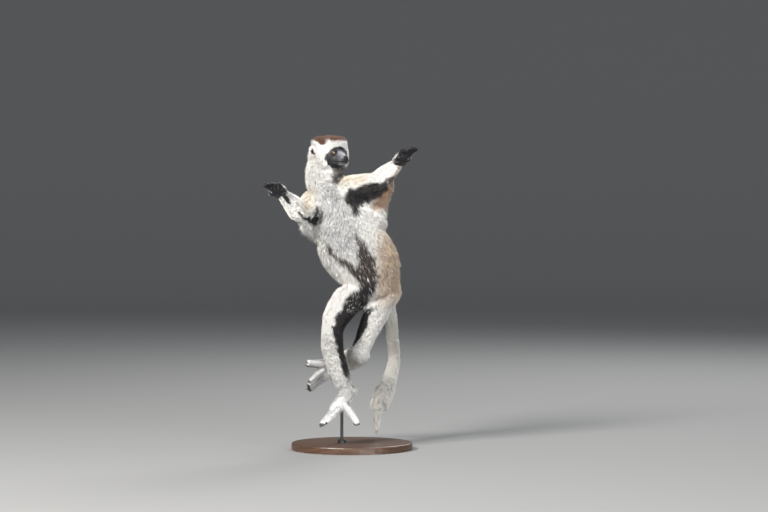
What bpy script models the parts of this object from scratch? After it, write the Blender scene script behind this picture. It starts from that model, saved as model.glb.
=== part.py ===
"""A Verreaux's sifaka at the top of a leap, life size, on a plain display stand.

The body is modelled whole, out to the tips of its coat: a loft or an ellipsoid for each mass, limb,
digit and fold, fused into one skin, and then parted at the neck, the limbs and the tail by thin cuts.
Metres, +Z up, +X to the animal's left, and the animal's chest towards -Y.  The origin is under
the middle of the base, on the surface that it stands on.
"""

import math

import bmesh
import bpy
from mathutils import Matrix, Vector

# ---------------------------------------------------------------- driving sizes, in metres

# The stand.
BASE_RADIUS = 0.155
BASE_THICKNESS = 0.018
BASE_EDGE = 0.003
ROD_RADIUS = 0.004
ROD_PLACE = (-0.026, -0.010)
ROD_TOP = 0.345
ROD_IN_BASE = 0.012
COLLAR_RADIUS = 0.011
COLLAR_HEIGHT = 0.009
COLLAR_GAP = 0.0003
COLLAR_CHAMFER = 0.003
FIT = 0.0004
POCKET_FROM = 0.19
ROD_SEGMENTS = 16
BASE_SEGMENTS = 48
SHARP = math.radians(35)

# How the fused skin is made, and how fine it is.
VOXEL = 0.0025
SMOOTH_STEPS = 7
FLESH_TRIANGLES = 5050
CUT = 0.0004
CRUMB = 1e-7

# Hands, feet and face keep more of the triangles.
FINE_PLACES = ("fingers", "toes", "hallux")
FINE_REACH = 0.045
FACE = Vector((0.040, 0.0, -0.010))
FINE_WEIGHT = 0.88

# The joints of the skeleton, and the ends of its limbs.
JOINT = {
    "shoulder_left": (-0.013, -0.022, 0.668),
    "elbow_left": (0.061, -0.080, 0.683),
    "wrist_left": (0.113, -0.135, 0.729),
    "fingers_left": (0.160, -0.182, 0.772),
    "shoulder_right": (-0.090, 0.026, 0.640),
    "elbow_right": (-0.128, -0.040, 0.608),
    "wrist_right": (-0.172, -0.105, 0.652),
    "fingers_right": (-0.212, -0.150, 0.684),
    "hip_left": (0.088, 0.004, 0.405),
    "knee_left": (0.020, -0.005, 0.247),
    "ankle_left": (-0.030, 0.142, 0.216),
    "heel_left": (-0.020, 0.155, 0.222),
    "toes_left": (-0.118, 0.088, 0.151),
    "hallux_left": (-0.118, 0.088, 0.215),
    "hip_right": (0.023, 0.020, 0.412),
    "knee_right": (-0.050, -0.090, 0.305),
    "ankle_right": (-0.013, -0.050, 0.145),
    "heel_right": (-0.001, -0.040, 0.154),
    "toes_right": (-0.077, -0.100, 0.068),
    "hallux_right": (0.015, -0.085, 0.073),
}
JOINT = {name: Vector(place) for name, place in JOINT.items()}

# The trunk from the crotch to the nape: middle, half width and half depth.
TRUNK = (
    ((0.061, 0.015, 0.375), 0.036, 0.036),
    ((0.059, 0.015, 0.401), 0.063, 0.054),
    ((0.051, 0.010, 0.437), 0.077, 0.061),
    ((0.037, 0.006, 0.473), 0.091, 0.065),
    ((0.006, 0.003, 0.519), 0.099, 0.067),
    ((-0.004, 0.000, 0.562), 0.092, 0.066),
    ((-0.008, 0.000, 0.602), 0.080, 0.062),
    ((-0.026, 0.004, 0.636), 0.070, 0.056),
    ((-0.049, 0.008, 0.662), 0.058, 0.050),
    ((-0.067, 0.006, 0.685), 0.049, 0.048),
    ((-0.070, 0.003, 0.715), 0.047, 0.046),
)
TRUNK_YAW = math.radians(-20)

# The way each palm faces, and how far its fingers stand apart.
PALM_TOWARDS = {"left": Vector((0.1, -1.0, -0.2)), "right": Vector((-0.1, -0.55, -0.80))}
TOE_SPACING = 0.0088
TOE_ROW_TURN = math.radians(48)
FINGER_SPREAD = {"left": 0.50, "right": 0.35}

# The head: its middle, the way it looks, and its section at stations from nape to face
# (distance forward, half width, top, bottom).
HEAD = Vector((-0.056, 0.000, 0.757))
HEAD_YAW = math.radians(40)
HEAD_PITCH = math.radians(3)
SKULL = (
    (-0.050, 0.016, 0.020, -0.016),
    (-0.041, 0.034, 0.037, -0.038),
    (-0.024, 0.044, 0.046, -0.056),
    (-0.005, 0.048, 0.050, -0.062),
    (0.010, 0.049, 0.050, -0.060),
    (0.022, 0.046, 0.043, -0.050),
    (0.030, 0.037, 0.029, -0.038),
)
MUZZLE = (
    (0.024, 0.0215, 0.003, -0.037),
    (0.038, 0.0205, 0.000, -0.036),
    (0.050, 0.0180, -0.005, -0.034),
    (0.060, 0.0145, -0.010, -0.030),
)
NOSE_BRIDGE = (
    (0.026, 0.0095, 0.016, -0.010),
    (0.038, 0.0080, 0.008, -0.010),
    (0.052, 0.0085, 0.000, -0.016),
    (0.063, 0.0085, -0.007, -0.020),
)
EYE_PLACE = Vector((0.0335, 0.0158, 0.0010))
EYE_RADIUS = 0.0085
EYE_SEGMENTS = 16
EYE_RINGS = 10
EAR_PLACE = Vector((-0.012, 0.050, 0.011))
EAR_SIZE = (0.015, 0.009, 0.017)
EAR_CUT = 0.0455

# The tail from its root to its tip: middle and radius.  Its coat ends bluntly before the thin tip.
TAIL = (
    ((0.080, 0.045, 0.410), 0.022),
    ((0.090, 0.090, 0.385), 0.018),
    ((0.100, 0.135, 0.332), 0.017),
    ((0.105, 0.190, 0.268), 0.017),
    ((0.109, 0.214, 0.224), 0.0175),
    ((0.101, 0.202, 0.178), 0.019),
    ((0.085, 0.163, 0.139), 0.0215),
    ((0.074, 0.130, 0.112), 0.021),
)
TAIL_END = (
    ((0.070, 0.132, 0.114), 0.010),
    ((0.064, 0.090, 0.076), 0.010),
    ((0.063, 0.058, 0.042), 0.008),
)

BODY_X = Vector((1, 0, 0))
TO_FRONT = Vector((0, -1, 0))
UP = Vector((0, 0, 1))


# ---------------------------------------------------------------- shapes


def between(a, b, t):
    """The point a part t of the way from a to b."""
    return a.lerp(b, t)


def across(direction, reference):
    """The unit vector nearest to reference that is square to direction."""
    axis = direction.normalized()
    return (reference - axis * reference.dot(axis)).normalized()


def spline(values, t):
    """Catmull-Rom through a list of numbers or vectors, at t in 0 .. len - 1."""
    last = len(values) - 1
    i = min(int(t), last - 1)
    f = t - i
    p0, p1, p2, p3 = (values[min(max(i + k, 0), last)] for k in (-1, 0, 1, 2))
    return (
        p1
        + (p2 - p0) * (f / 2)
        + (p0 * 2 - p1 * 5 + p2 * 4 - p3) * (f * f / 2)
        + (p1 * 3 - p0 - p2 * 3 + p3) * (f * f * f / 2)
    )


def add_rings(bm, rings, poles):
    """Skin a list of rings, each a list of points, and close both ends with a pole."""
    loops = [[bm.verts.new(p) for p in ring] for ring in rings]
    count = len(loops[0])
    for a, b in zip(loops, loops[1:]):
        for k in range(count):
            bm.faces.new((a[k], a[(k + 1) % count], b[(k + 1) % count], b[k]))
    first, last = (bm.verts.new(p) for p in poles)
    for k in range(count):
        bm.faces.new((first, loops[0][(k + 1) % count], loops[0][k]))
        bm.faces.new((last, loops[-1][k], loops[-1][(k + 1) % count]))


def loft(bm, stations, sides=20, steps=4, bulge=1.0):
    """A closed loft with domed ends.  A station is (middle, half-width vector, half depth)."""
    middles = [Vector(s[0]) for s in stations]
    widths = [Vector(s[1]) for s in stations]
    depths = [s[2] for s in stations]
    count = (len(stations) - 1) * steps
    times = [k / steps for k in range(count + 1)]
    path = [spline(middles, t) for t in times]

    def ring(middle, tangent, width, depth):
        side = across(tangent, width) * width.length
        front = tangent.cross(side).normalized() * depth
        angles = [2 * math.pi * k / sides for k in range(sides)]
        return [middle + side * math.cos(a) + front * math.sin(a) for a in angles]

    rings = []
    for k, t in enumerate(times):
        tangent = (path[min(k + 1, count)] - path[max(k - 1, 0)]).normalized()
        rings.append((path[k], tangent, spline(widths, t), spline(depths, t)))

    def round_end(entry, outward):
        middle, tangent, width, depth = entry
        reach = min(width.length, depth) * bulge
        caps = []
        for angle in (math.radians(30), math.radians(60)):
            place = middle + tangent * outward * reach * math.sin(angle)
            scale = math.cos(angle)
            caps.append((place, tangent, width * scale, depth * scale))
        return caps, middle + tangent * outward * reach

    head_caps, head_pole = round_end(rings[0], -1)
    tail_caps, tail_pole = round_end(rings[-1], 1)
    whole = head_caps[::-1] + rings + tail_caps
    add_rings(bm, [ring(*entry) for entry in whole], (head_pole, tail_pole))


def limb(bm, points, radii, side=BODY_X):
    """A loft of round sections along points."""
    stations = [(p, side * r, r) for p, r in zip(points, radii)]
    loft(bm, stations)


def ellipsoid(bm, place, size, turn=None):
    """An ellipsoid with half axes size, turned by a 3 x 3 matrix."""
    matrix = Matrix.Translation(place)
    if turn is not None:
        matrix = matrix @ turn.to_4x4()
    matrix = matrix @ Matrix.Diagonal((*size, 1))
    bmesh.ops.create_uvsphere(bm, u_segments=20, v_segments=12, radius=1, matrix=matrix)


def fold(bm, arm, edge, thickness, steps=6):
    """A flap of furred skin stretched between an arm, three points, and its free edge, two points."""
    stations = []
    for k in range(steps + 1):
        t = k / steps
        inner = spline(arm, t * (len(arm) - 1))
        outer = between(edge[0], edge[1], t)
        stations.append(((inner + outer) / 2, (outer - inner) / 2, thickness / 2))
    loft(bm, stations, steps=2)


# ---------------------------------------------------------------- the body


def head_matrix():
    """Turns head coordinates (forward, to the animal's left, up) into the model's."""
    forward = Vector((math.sin(HEAD_YAW), -math.cos(HEAD_YAW), 0))
    forward = forward * math.cos(HEAD_PITCH) + UP * math.sin(HEAD_PITCH)
    left = UP.cross(forward).normalized()
    up = forward.cross(left)
    return Matrix.Translation(HEAD) @ Matrix((forward, left, up)).transposed().to_4x4()


def head_loft(bm, stations):
    """A loft along the head's own forward axis."""
    to_model = head_matrix()
    left = to_model.to_3x3() @ Vector((0, 1, 0))
    middles = [(to_model @ Vector((x, 0, (top + low) / 2)), left * half, (top - low) / 2)
               for x, half, top, low in stations]
    loft(bm, middles, sides=24, bulge=0.25)


def build_head(bm):
    """Skull with its ruff, muzzle, nose, brow and ears."""
    to_model = head_matrix()
    turn = to_model.to_3x3()
    head_loft(bm, SKULL)
    head_loft(bm, MUZZLE)
    head_loft(bm, NOSE_BRIDGE)
    brow = Vector((0.018, 0.0, 0.026))
    ellipsoid(bm, to_model @ brow, (0.030, 0.047, 0.017), turn)
    for sign in (-1, 1):
        cheek = Vector((0.012, 0.030 * sign, -0.018))
        ellipsoid(bm, to_model @ cheek, (0.018, 0.018, 0.025), turn)
        ear = Vector((EAR_PLACE.x, EAR_PLACE.y * sign, EAR_PLACE.z))
        tilt = Matrix.Rotation(math.radians(-20 * sign), 3, "X")
        lean = tilt @ Matrix.Rotation(math.radians(25 * sign), 3, "Z")
        ellipsoid(bm, to_model @ ear, EAR_SIZE, turn @ lean)


def build_trunk(bm):
    """Chest, belly, hips and neck, with the rump and the flank's bulge under the left arm."""
    width = Vector((math.cos(TRUNK_YAW), math.sin(TRUNK_YAW), 0))
    loft(bm, [(middle, width * half, depth) for middle, half, depth in TRUNK], sides=28)
    ellipsoid(bm, (0.092, 0.028, 0.410), (0.034, 0.036, 0.044))
    ellipsoid(bm, (0.036, 0.036, 0.412), (0.034, 0.030, 0.036))
    ellipsoid(bm, (0.052, -0.010, 0.588), (0.040, 0.044, 0.046))


def build_arm(bm, side):
    """Shoulder, upper arm, forearm and hand."""
    shoulder, elbow, wrist, fingers = (
        JOINT[f"{name}_{side}"] for name in ("shoulder", "elbow", "wrist", "fingers")
    )
    points = [shoulder, between(shoulder, elbow, 0.5), elbow, between(elbow, wrist, 0.5), wrist]
    limb(bm, points, (0.035, 0.031, 0.028, 0.024, 0.016), side=UP)
    build_hand(bm, wrist, fingers, side)


def build_hand(bm, wrist, fingers, side):
    """Palm, four fingers held close together, and a thumb."""
    reach = fingers - wrist
    way = reach.normalized()
    palm = across(way, PALM_TOWARDS[side])
    inner = across(way, palm.cross(way)) * (1 if side == "right" else -1)
    knuckles = wrist + reach * 0.45
    stations = [
        (wrist - way * 0.004, inner * 0.014, 0.012),
        (wrist + reach * 0.18, inner * 0.017, 0.0105),
        (knuckles, inner * 0.018, 0.0095),
    ]
    loft(bm, stations)
    lengths = (0.86, 1.0, 1.02, 0.88)
    for k, length in enumerate(lengths):
        offset = (1.5 - k) * 0.0098
        root = knuckles + inner * offset - way * 0.004
        spread = inner * offset * FINGER_SPREAD[side]
        middle = root + (reach * 0.30 + spread * 0.5) * length - palm * 0.003
        tip = root + (reach * 0.56 + spread) * length + palm * 0.006
        limb(bm, (root, middle, tip), (0.0058, 0.0050, 0.0046), side=inner)
    root = wrist + reach * 0.14 + inner * 0.013
    middle = root + reach * 0.16 + inner * 0.008 + palm * 0.003
    tip = root + reach * 0.34 + inner * 0.012 + palm * 0.007
    limb(bm, (root, middle, tip), (0.0070, 0.0062, 0.0053), side=inner)


def build_folds(bm):
    """The furred fold of skin from each arm to the flank."""
    left_arm = [
        JOINT["shoulder_left"] + Vector((0.020, 0.0, -0.024)),
        JOINT["elbow_left"] + Vector((0.0, 0.006, -0.014)),
        JOINT["wrist_left"] + Vector((-0.002, 0.006, -0.008)),
    ]
    left_edge = [Vector((0.092, -0.004, 0.610)), JOINT["wrist_left"] + Vector((0.004, 0.008, -0.012))]
    fold(bm, left_arm, left_edge, 0.017)
    right_arm = [
        JOINT["shoulder_right"] + Vector((0.016, 0.004, -0.040)),
        JOINT["elbow_right"] + Vector((0.004, 0.004, -0.010)),
        JOINT["wrist_right"] + Vector((0.002, 0.004, -0.004)),
    ]
    right_edge = [Vector((-0.105, 0.008, 0.540)), JOINT["wrist_right"] + Vector((-0.004, 0.006, -0.010))]
    fold(bm, right_arm, right_edge, 0.018)


def build_leg(bm, side, thigh_radii, swell, bulge):
    """Thigh, knee and calf.  swell is the way the thigh stands out, and bulge the calf."""
    hip, knee, ankle = (JOINT[f"{name}_{side}"] for name in ("hip", "knee", "ankle"))
    thigh = [hip, between(hip, knee, 0.35) + swell, between(hip, knee, 0.72) + swell, knee]
    limb(bm, thigh, thigh_radii)
    shin = [knee, between(knee, ankle, 0.3) + bulge, between(knee, ankle, 0.7) + bulge * 0.6, ankle]
    limb(bm, shin, (0.0285, 0.029, 0.026, 0.0195))


def build_foot(bm, side, dorsum_towards):
    """Heel, instep, four toes held together, and the hallux standing apart."""
    ankle, heel, toes, hallux = (JOINT[f"{name}_{side}"] for name in ("ankle", "heel", "toes", "hallux"))
    way = (toes - heel).normalized()
    dorsum = across(way, dorsum_towards)
    inner = across(way, hallux - toes)
    ball = between(heel, toes, 0.58)
    stations = [
        (heel, inner * 0.0125, 0.0115),
        (between(heel, toes, 0.22), inner * 0.018, 0.0165),
        (between(heel, toes, 0.42), inner * 0.018, 0.013),
        (ball, inner * 0.017, 0.0105),
    ]
    loft(bm, stations)
    limb(bm, (ankle, between(heel, toes, 0.25) + dorsum * 0.002), (0.0195, 0.017))
    row = inner * math.cos(TOE_ROW_TURN) + dorsum * math.sin(TOE_ROW_TURN)
    lengths = (0.84, 0.95, 1.0, 0.90)
    for k, length in enumerate(lengths):
        offset = (1.5 - k) * TOE_SPACING
        root = ball + row * offset
        tip = root + (toes - ball) * length + row * offset * 0.10
        middle = between(root, tip, 0.5) + dorsum * 0.003
        limb(bm, (root, middle, tip - way * 0.005), (0.0062, 0.0056, 0.0050), side=inner)
    root = between(heel, toes, 0.36) + inner * 0.008
    middle = between(root, hallux, 0.5) + dorsum * 0.004
    limb(bm, (root, middle, between(root, hallux, 0.92)), (0.0115, 0.0092, 0.0082), side=inner)


def build_tail(bm):
    """The tail in two lofts: the furred length, and the thin tip past the coat's blunt end."""
    for stations in (TAIL, TAIL_END):
        limb(bm, [Vector(place) for place, _ in stations], [radius for _, radius in stations])


def fused(source, triangles):
    """One skin over all the shells in source, smoothed, and reduced to about so many triangles."""
    mesh = bpy.data.meshes.new("shells")
    source.to_mesh(mesh)
    shells = bpy.data.objects.new("shells", mesh)
    bpy.context.scene.collection.objects.link(shells)
    remesh = shells.modifiers.new("fuse", "REMESH")
    remesh.mode = "VOXEL"
    remesh.voxel_size = VOXEL
    smooth = shells.modifiers.new("smooth", "SMOOTH")
    smooth.factor = 0.5
    smooth.iterations = SMOOTH_STEPS
    skin = mesh_of(shells)
    count = sum(len(face.vertices) - 2 for face in skin.polygons)
    shells.modifiers.clear()
    shells.data = skin
    plain = shells.vertex_groups.new(name="plain")
    fine_spots = [JOINT[f"{name}_{side}"] for name in FINE_PLACES for side in ("left", "right")]
    fine_spots.append(head_matrix() @ FACE)
    for vertex in skin.vertices:
        near = min((vertex.co - spot).length for spot in fine_spots)
        plain.add([vertex.index], FINE_WEIGHT if near < FINE_REACH else 1.0, "REPLACE")
    thin = shells.modifiers.new("thin", "DECIMATE")
    thin.ratio = triangles / count
    thin.use_collapse_triangulate = True
    thin.vertex_group = "plain"
    thin.vertex_group_factor = 1.0
    body = bpy.data.objects.new("body", mesh_of(shells))
    bpy.context.scene.collection.objects.link(body)
    bpy.data.objects.remove(shells)
    return body


def mesh_of(obj):
    """The mesh of an object with its modifiers."""
    graph = bpy.context.evaluated_depsgraph_get()
    return bpy.data.meshes.new_from_object(obj.evaluated_get(graph))


# ---------------------------------------------------------------- cuts


def as_cutter(name, bm):
    """A hidden wire object from a bmesh, with its faces pointing out."""
    bmesh.ops.recalc_face_normals(bm, faces=bm.faces)
    mesh = bpy.data.meshes.new(name)
    bm.to_mesh(mesh)
    bm.free()
    obj = bpy.data.objects.new(name, mesh)
    bpy.context.scene.collection.objects.link(obj)
    obj.hide_render = True
    obj.display_type = "WIRE"
    return obj


def disc(name, place, normal, radius):
    """A thin round cutter square to normal."""
    bm = bmesh.new()
    turn = Vector(normal).to_track_quat("Z", "Y").to_matrix().to_4x4()
    bmesh.ops.create_cone(
        bm, cap_ends=True, segments=24, radius1=radius, radius2=radius, depth=CUT,
        matrix=Matrix.Translation(place) @ turn,
    )
    return as_cutter(name, bm)


def curtain(name, line, front, back):
    """A thin bent cutter: a line of (x, z) points drawn from y = front to y = back."""
    bm = bmesh.new()
    points = [Vector(p) for p in line]
    normals = []
    for k in range(len(points)):
        along = points[min(k + 1, len(points) - 1)] - points[max(k - 1, 0)]
        normals.append(Vector((-along.y, along.x)).normalized() * CUT / 2)
    outline = [p + n for p, n in zip(points, normals)]
    outline += [p - n for p, n in zip(points[::-1], normals[::-1])]
    face = bm.faces.new([bm.verts.new((p.x, front, p.y)) for p in outline])
    swept = bmesh.ops.extrude_face_region(bm, geom=[face])
    moved = [v for v in swept["geom"] if isinstance(v, bmesh.types.BMVert)]
    bmesh.ops.translate(bm, verts=moved, vec=(0, back - front, 0))
    return as_cutter(name, bm)


def joint_disc(name, near, joint, far, radius, shift=0.0):
    """A cut through a joint, square to the mean of the two bones, moved shift along the second one."""
    first = (JOINT[joint] - JOINT[near]).normalized()
    second = (JOINT[far] - JOINT[joint]).normalized()
    return disc(name, JOINT[joint] + second * shift, first + second, radius)


def cutters():
    """Every cut that parts the body."""
    cuts = [
        curtain("cut_head", ((-0.142, 0.690), (-0.074, 0.702), (-0.014, 0.718), (0.010, 0.726)),
                -0.072, 0.070),
        curtain("cut_neck", ((-0.1055, 0.6712), (-0.074, 0.678), (-0.0275, 0.6905)), -0.060, 0.075),
        curtain("cut_arm_left",
                ((-0.0185, 0.7185), (-0.028, 0.690), (-0.008, 0.660), (0.014, 0.628), (0.110, 0.617)),
                -0.090, 0.080),
        curtain("cut_arm_right",
                ((-0.132, 0.684), (-0.105, 0.671), (-0.098, 0.625), (-0.086, 0.580),
                 (-0.104, 0.541), (-0.122, 0.515)),
                -0.085, 0.095),
        curtain("cut_thigh_right", ((-0.060, 0.430), (-0.0285, 0.4255), (0.036, 0.371)), -0.110, 0.085),
        curtain("cut_thigh_left", ((0.029, 0.376), (0.042, 0.371), (0.140, 0.364)), -0.070, 0.066),
        curtain("cut_crotch", ((0.034, 0.374), (0.015, 0.335)), -0.090, 0.080),
        disc("cut_waist", (0.012, 0.002, 0.535), (-0.335, -0.063, 0.942), 0.125),
        disc("cut_loin", (0.040, 0.006, 0.478), (-0.335, -0.063, 0.942), 0.115),
        joint_disc("cut_elbow_left", "shoulder_left", "elbow_left", "wrist_left", 0.068),
        joint_disc("cut_elbow_right", "shoulder_right", "elbow_right", "wrist_right", 0.066),
        joint_disc("cut_wrist_left", "elbow_left", "wrist_left", "fingers_left", 0.030, 0.003),
        joint_disc("cut_wrist_right", "elbow_right", "wrist_right", "fingers_right", 0.030, 0.003),
        joint_disc("cut_knee_left", "hip_left", "knee_left", "ankle_left", 0.044),
        joint_disc("cut_knee_right", "hip_right", "knee_right", "ankle_right", 0.046),
        disc("cut_ankle_left", between(JOINT["knee_left"], JOINT["ankle_left"], 0.84),
             JOINT["ankle_left"] - JOINT["knee_left"], 0.034),
        disc("cut_ankle_right", between(JOINT["knee_right"], JOINT["ankle_right"], 0.86),
             JOINT["ankle_right"] - JOINT["knee_right"], 0.036),
        disc("cut_tail_root", (0.0875, 0.079, 0.391), (0.17, 0.81, -0.56), 0.032),
        disc("cut_tail_upper", (0.1045, 0.184, 0.275), (0.10, 0.55, -0.80), 0.032),
        disc("cut_tail_lower", (0.088, 0.176, 0.150), (-0.40, -0.60, -0.65), 0.034),
    ]
    to_model = head_matrix()
    for sign, side in ((1, "left"), (-1, "right")):
        place = to_model @ Vector((EAR_PLACE.x, EAR_CUT * sign, EAR_PLACE.z + 0.002))
        normal = to_model.to_3x3() @ Vector((-0.10, sign, 0.18))
        cuts.append(disc(f"cut_ear_{side}", place, normal, 0.027))
    return cuts


def sphere_object(name, place, radius):
    """A round solid, smooth."""
    bm = bmesh.new()
    bmesh.ops.create_uvsphere(
        bm, u_segments=EYE_SEGMENTS, v_segments=EYE_RINGS, radius=radius,
        matrix=Matrix.Translation(place),
    )
    mesh = bpy.data.meshes.new(name)
    bm.to_mesh(mesh)
    bm.free()
    mesh.shade_smooth()
    obj = bpy.data.objects.new(name, mesh)
    bpy.context.scene.collection.objects.link(obj)
    return obj


def subtract(body, tools):
    """Cut each tool out of the body, and keep the result as its mesh."""
    for tool in tools:
        cut = body.modifiers.new(tool.name, "BOOLEAN")
        cut.operation = "DIFFERENCE"
        cut.solver = "EXACT"
        cut.object = tool
    mesh = mesh_of(body)
    body.modifiers.clear()
    body.data = mesh
    for tool in tools:
        bpy.data.objects.remove(tool)


def loose_parts(mesh):
    """The separate shells of a mesh, each as a bmesh."""
    whole = bmesh.new()
    whole.from_mesh(mesh)
    left = set(whole.verts)
    parts = []
    while left:
        found = {left.pop()}
        edge = list(found)
        while edge:
            near = {e.other_vert(v) for v in edge for e in v.link_edges} - found
            found |= near
            edge = list(near)
        left -= found
        part = bmesh.new()
        fresh = {v: part.verts.new(v.co) for v in found}
        for face in {f for v in found for f in v.link_faces}:
            part.faces.new([fresh[v] for v in face.verts])
        parts.append(part)
    whole.free()
    return parts


def marks():
    """A point well inside each piece of flesh, by which the pieces are told apart."""
    to_model = head_matrix()
    inside = {
        "head": HEAD,
        "neck": Vector((-0.068, 0.005, 0.692)),
        "chest": Vector((-0.010, 0.000, 0.600)),
        "belly": Vector((0.026, 0.004, 0.506)),
        "hips": Vector((0.056, 0.012, 0.425)),
        "tail_base": Vector((0.100, 0.135, 0.332)),
        "tail_middle": Vector((0.108, 0.213, 0.220)),
        "tail_tip": Vector((0.072, 0.136, 0.119)),
    }
    for sign, side in ((1, "left"), (-1, "right")):
        inside[f"ear_{side}"] = to_model @ Vector((EAR_PLACE.x - 0.002, 0.053 * sign, EAR_PLACE.z))
        for name, a, b, t in (
            ("upper_arm", "shoulder", "elbow", 0.5),
            ("forearm", "elbow", "wrist", 0.5),
            ("hand", "wrist", "fingers", 0.35),
            ("thigh", "hip", "knee", 0.6),
            ("shin", "knee", "ankle", 0.5),
            ("foot", "heel", "toes", 0.4),
        ):
            inside[f"{name}_{side}"] = between(JOINT[f"{a}_{side}"], JOINT[f"{b}_{side}"], t)
    return inside


def off_centre(part, mark):
    """How far a mark is from the mean of a part's corners."""
    places = [v.co for v in part.verts]
    middle = sum(places, Vector()) / len(places)
    return (middle - mark).length


# ---------------------------------------------------------------- finishes


def finish(name, colour, roughness, metallic=0.0):
    """A plain Principled material."""
    material = bpy.data.materials.new(name)
    material.use_nodes = True
    shader = material.node_tree.nodes["Principled BSDF"]
    shader.inputs["Base Color"].default_value = (*colour, 1)
    shader.inputs["Roughness"].default_value = roughness
    shader.inputs["Metallic"].default_value = metallic
    return material


def part_the_body(body, coats):
    """Make a named object of each loose piece of the body."""
    inside = marks()
    parts = [part for part in loose_parts(body.data) if abs(part.calc_volume()) > CRUMB]
    bpy.data.objects.remove(body)
    parts.sort(key=lambda part: -len(part.verts))
    print(f"flesh in {len(parts)} pieces, {len(inside)} wanted")
    if len(parts) != len(inside):
        raise ValueError("the cuts don't part the body as they should")
    for part in parts:
        name = min(inside, key=lambda key: off_centre(part, inside[key]))
        del inside[name]
        bmesh.ops.recalc_face_normals(part, faces=part.faces)
        bmesh.ops.triangulate(part, faces=part.faces)
        mesh = bpy.data.meshes.new(name)
        part.to_mesh(mesh)
        part.free()
        mesh.shade_smooth()
        obj = bpy.data.objects.new(name, mesh)
        bpy.context.scene.collection.objects.link(obj)
        mesh.materials.append(coats.get(name.split("_")[0], coats["coat"]))
        print(f"  {name}: {len(mesh.polygons)} triangles")


# ---------------------------------------------------------------- the stand


def turned(name, profile, place, material, segments):
    """A solid turned about a vertical axis from a profile of (radius, height) points, bottom first."""
    bm = bmesh.new()
    rings = []
    for radius, height in profile:
        angles = [2 * math.pi * k / segments for k in range(segments)]
        rings.append([Vector((radius * math.cos(a), radius * math.sin(a), height)) for a in angles])
    loops = [[bm.verts.new(p) for p in ring] for ring in rings]
    for a, b in zip(loops, loops[1:] + loops[:1]):
        for k in range(segments):
            bm.faces.new((a[k], a[(k + 1) % segments], b[(k + 1) % segments], b[k]))
    bmesh.ops.recalc_face_normals(bm, faces=bm.faces)
    bmesh.ops.translate(bm, verts=bm.verts, vec=(*place, 0))
    mesh = bpy.data.meshes.new(name)
    bm.to_mesh(mesh)
    bm.free()
    mesh.shade_smooth()
    mesh.set_sharp_from_angle(angle=SHARP)
    mesh.materials.append(material)
    obj = bpy.data.objects.new(name, mesh)
    bpy.context.scene.collection.objects.link(obj)
    return obj


def rod_solid(radius, bottom, top):
    """A round bar on the rod's axis."""
    bm = bmesh.new()
    middle = Matrix.Translation((*ROD_PLACE, (bottom + top) / 2))
    bmesh.ops.create_cone(
        bm, cap_ends=True, segments=ROD_SEGMENTS, radius1=radius, radius2=radius, depth=top - bottom,
        matrix=middle,
    )
    return bm


def build_stand(wood, steel):
    """A flat round base, the rod that holds the body, and a collar where the rod meets the base."""
    bm = bmesh.new()
    bmesh.ops.create_cone(
        bm, cap_ends=True, segments=BASE_SEGMENTS, radius1=BASE_RADIUS, radius2=BASE_RADIUS,
        depth=BASE_THICKNESS, matrix=Matrix.Translation((0, 0, BASE_THICKNESS / 2)),
    )
    rim = [e for e in bm.edges if all(v.co.z > BASE_THICKNESS / 2 for v in e.verts)]
    bmesh.ops.bevel(bm, geom=rim, offset=BASE_EDGE, segments=2, affect="EDGES", profile=0.5)
    mesh = bpy.data.meshes.new("stand_base")
    bm.to_mesh(mesh)
    bm.free()
    mesh.materials.append(wood)
    base = bpy.data.objects.new("stand_base", mesh)
    bpy.context.scene.collection.objects.link(base)
    floor = BASE_THICKNESS - ROD_IN_BASE
    hole = rod_solid(ROD_RADIUS + FIT, floor - FIT, BASE_THICKNESS + 0.01)
    subtract(base, [as_cutter("rod_hole", hole)])
    base.data.shade_smooth()
    base.data.set_sharp_from_angle(angle=SHARP)

    rod = bpy.data.meshes.new("stand_rod")
    bar = rod_solid(ROD_RADIUS, floor, ROD_TOP)
    bar.to_mesh(rod)
    bar.free()
    rod.shade_smooth()
    rod.set_sharp_from_angle(angle=SHARP)
    rod.materials.append(steel)
    bpy.context.scene.collection.objects.link(bpy.data.objects.new("stand_rod", rod))

    low = BASE_THICKNESS + COLLAR_GAP
    high = low + COLLAR_HEIGHT
    inner = ROD_RADIUS + FIT
    profile = [
        (inner, low), (COLLAR_RADIUS, low), (COLLAR_RADIUS, high - COLLAR_CHAMFER),
        (COLLAR_RADIUS - COLLAR_CHAMFER, high), (inner, high),
    ]
    turned("stand_collar", profile, ROD_PLACE, steel, ROD_SEGMENTS)


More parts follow.
